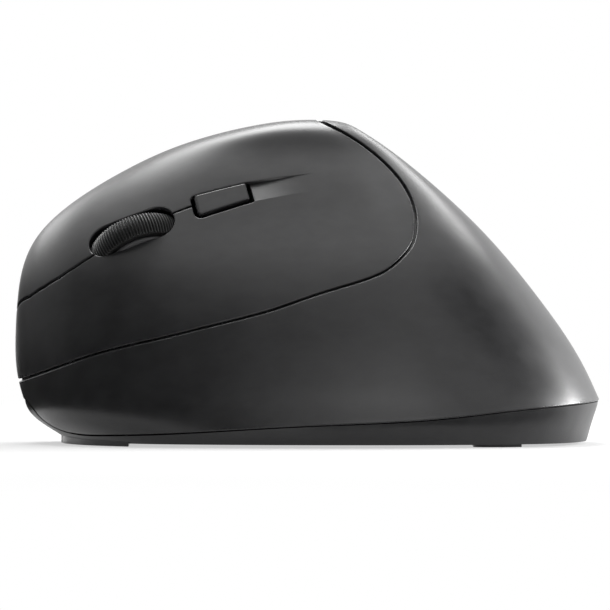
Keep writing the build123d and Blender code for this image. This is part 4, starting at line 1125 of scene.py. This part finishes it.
# dark cards round the studio that only reflections show: for each turn (0 towards the camera, 90 in front of
# the nose) the places of the card's rows, away and up
cards = {
    "frontCard": {18: [(0.070, 0.001), (0.9, 0.001), (0.9, 1.7)],
                  75: [(0.068, 0.001), (0.9, 0.001), (0.9, 1.7)],
                  105: [(0.068, 0.001), (0.9, 0.001), (0.9, 0.42)],
                  130: [(0.068, 0.001), (0.9, 0.001), (0.9, 0.2)],
                  155: [(0.068, 0.001), (0.9, 0.001), (0.9, 0.08)]},
    "rearCard": {-140: [(0.9, 0.7), (0.9, 1.9)], -60: [(0.9, 0.7), (0.9, 1.9)]},
    # the side card lies on the floor close beside the base: a dark sheet that only the base's reflection
    # shows, painted shade standing in for the floor's shade there
    "sideCard": {-75: [(0.070, 0.001), (0.2, 0.001)], -45: [(0.056, 0.001), (0.2, 0.001)],
                 -20: [(0.047, 0.001), (0.2, 0.001)], 0: [(0.044, 0.001), (0.1, 0.001)]},
}
cardLook = {"colour": (0.02, 0.02, 0.02), "steps": 24}


def stagePiece(name, points, faces, material):
    mesh = bpy.data.meshes.new(name)
    mesh.from_pydata(points, [], faces)
    mesh.materials.append(material)
    piece = bpy.data.objects.new(name, mesh)
    bpy.context.scene.collection.objects.link(piece)
    return piece


def whiteRays(finish):
    # 1 where the camera, a gloss or a clear piece looks
    path = finish.make("ShaderNodeLightPath").socket.node.outputs
    kinds = ("Camera", "Glossy", "Transmission")
    camera, glossy, clear = (Flow(finish, path["Is " + kind + " Ray"]) for kind in kinds)
    return finish.make("ShaderNodeClamp", None, {0: camera + glossy + clear})


def floorFinish():
    # white far from the object; near it the floor shows its own colour and the shadow as well
    finish = Finish("floor")
    white = studio["floorWhite"]
    own = finish.make("ShaderNodeBsdfDiffuse", None, {"Color": solid(studio["floorColour"])})
    glow = finish.make("ShaderNodeEmission", None, {"Color": (1, 1, 1, 1), "Strength": 1.0})
    where = finish.make("ShaderNodeTexCoord", output=3)
    away = finish.make("ShaderNodeVectorMath", {"operation": "LENGTH"}, {0: where}, output=1)
    share = white + finish.ramp(away, studio["whiteFrom"], studio["whiteTo"]) * (1 - white)
    shader = finish.make("ShaderNodeMixShader", None, {0: whiteRays(finish) * share, 1: own, 2: glow})
    finish.make("ShaderNodeOutputMaterial", None, {0: shader})
    return finish.owner


half = studio["floorHalf"]
floorCorners = [(-half, -half, 0), (half, -half, 0), (half, half, 0), (-half, half, 0)]
stagePiece("floor", floorCorners, [(0, 1, 2, 3)], floorFinish())


def makeCard(name, rows):
    finish = Finish(name)
    own = finish.make("ShaderNodeBsdfDiffuse", None, {"Color": solid(cardLook["colour"])})
    finish.make("ShaderNodeOutputMaterial", None, {0: own})
    turns = sorted(rows)
    table = np.array([rows[turn] for turn in turns])
    count = table.shape[1]
    points, faces = [], []
    for k, turn in enumerate(np.linspace(turns[0], turns[-1], cardLook["steps"])):
        angle = math.radians(turn)
        for row in range(count):
            away, up = (np.interp(turn, turns, table[:, row, axis]) for axis in (0, 1))
            points.append((-away * math.cos(angle), away * math.sin(angle), up))
        if k:
            firsts = [count * k + row for row in range(count - 1)]
            faces += [(first - count, first, first + 1, first + 1 - count) for first in firsts]
    card = stagePiece(name, points, faces, finish.owner)
    card.visible_camera = False
    card.visible_diffuse = False
    card.visible_shadow = False


def makeWorld():
    # a white room, dimmer where it lights a dull surface
    world = bpy.data.worlds.new("studio")
    bpy.context.scene.world = world
    finish = Finish("studio", world)
    strength = studio["worldDiffuse"] + whiteRays(finish) * (1 - studio["worldDiffuse"])
    light = finish.make("ShaderNodeBackground", None, {"Color": (1, 1, 1, 1), "Strength": strength})
    finish.make("ShaderNodeOutputWorld", None, {0: light})


for name, rows in cards.items():
    makeCard(name, rows)
makeWorld()
for name, look in studio["lights"].items():
    lightData = bpy.data.lights.new(name, "AREA")
    lightData.shape = "RECTANGLE"
    lightData.size, lightData.size_y = look["size"]
    lightData.energy = look["radiance"] * math.pi * look["size"][0] * look["size"][1]
    light = bpy.data.objects.new(name, lightData)
    light.location = look["place"]
    light.rotation_euler = (Vector(look["aim"]) - Vector(look["place"])).to_track_quat("-Z", "Y").to_euler()
    bpy.context.scene.collection.objects.link(light)
bpy.context.scene.view_settings.view_transform = "Standard"
print("studio set")
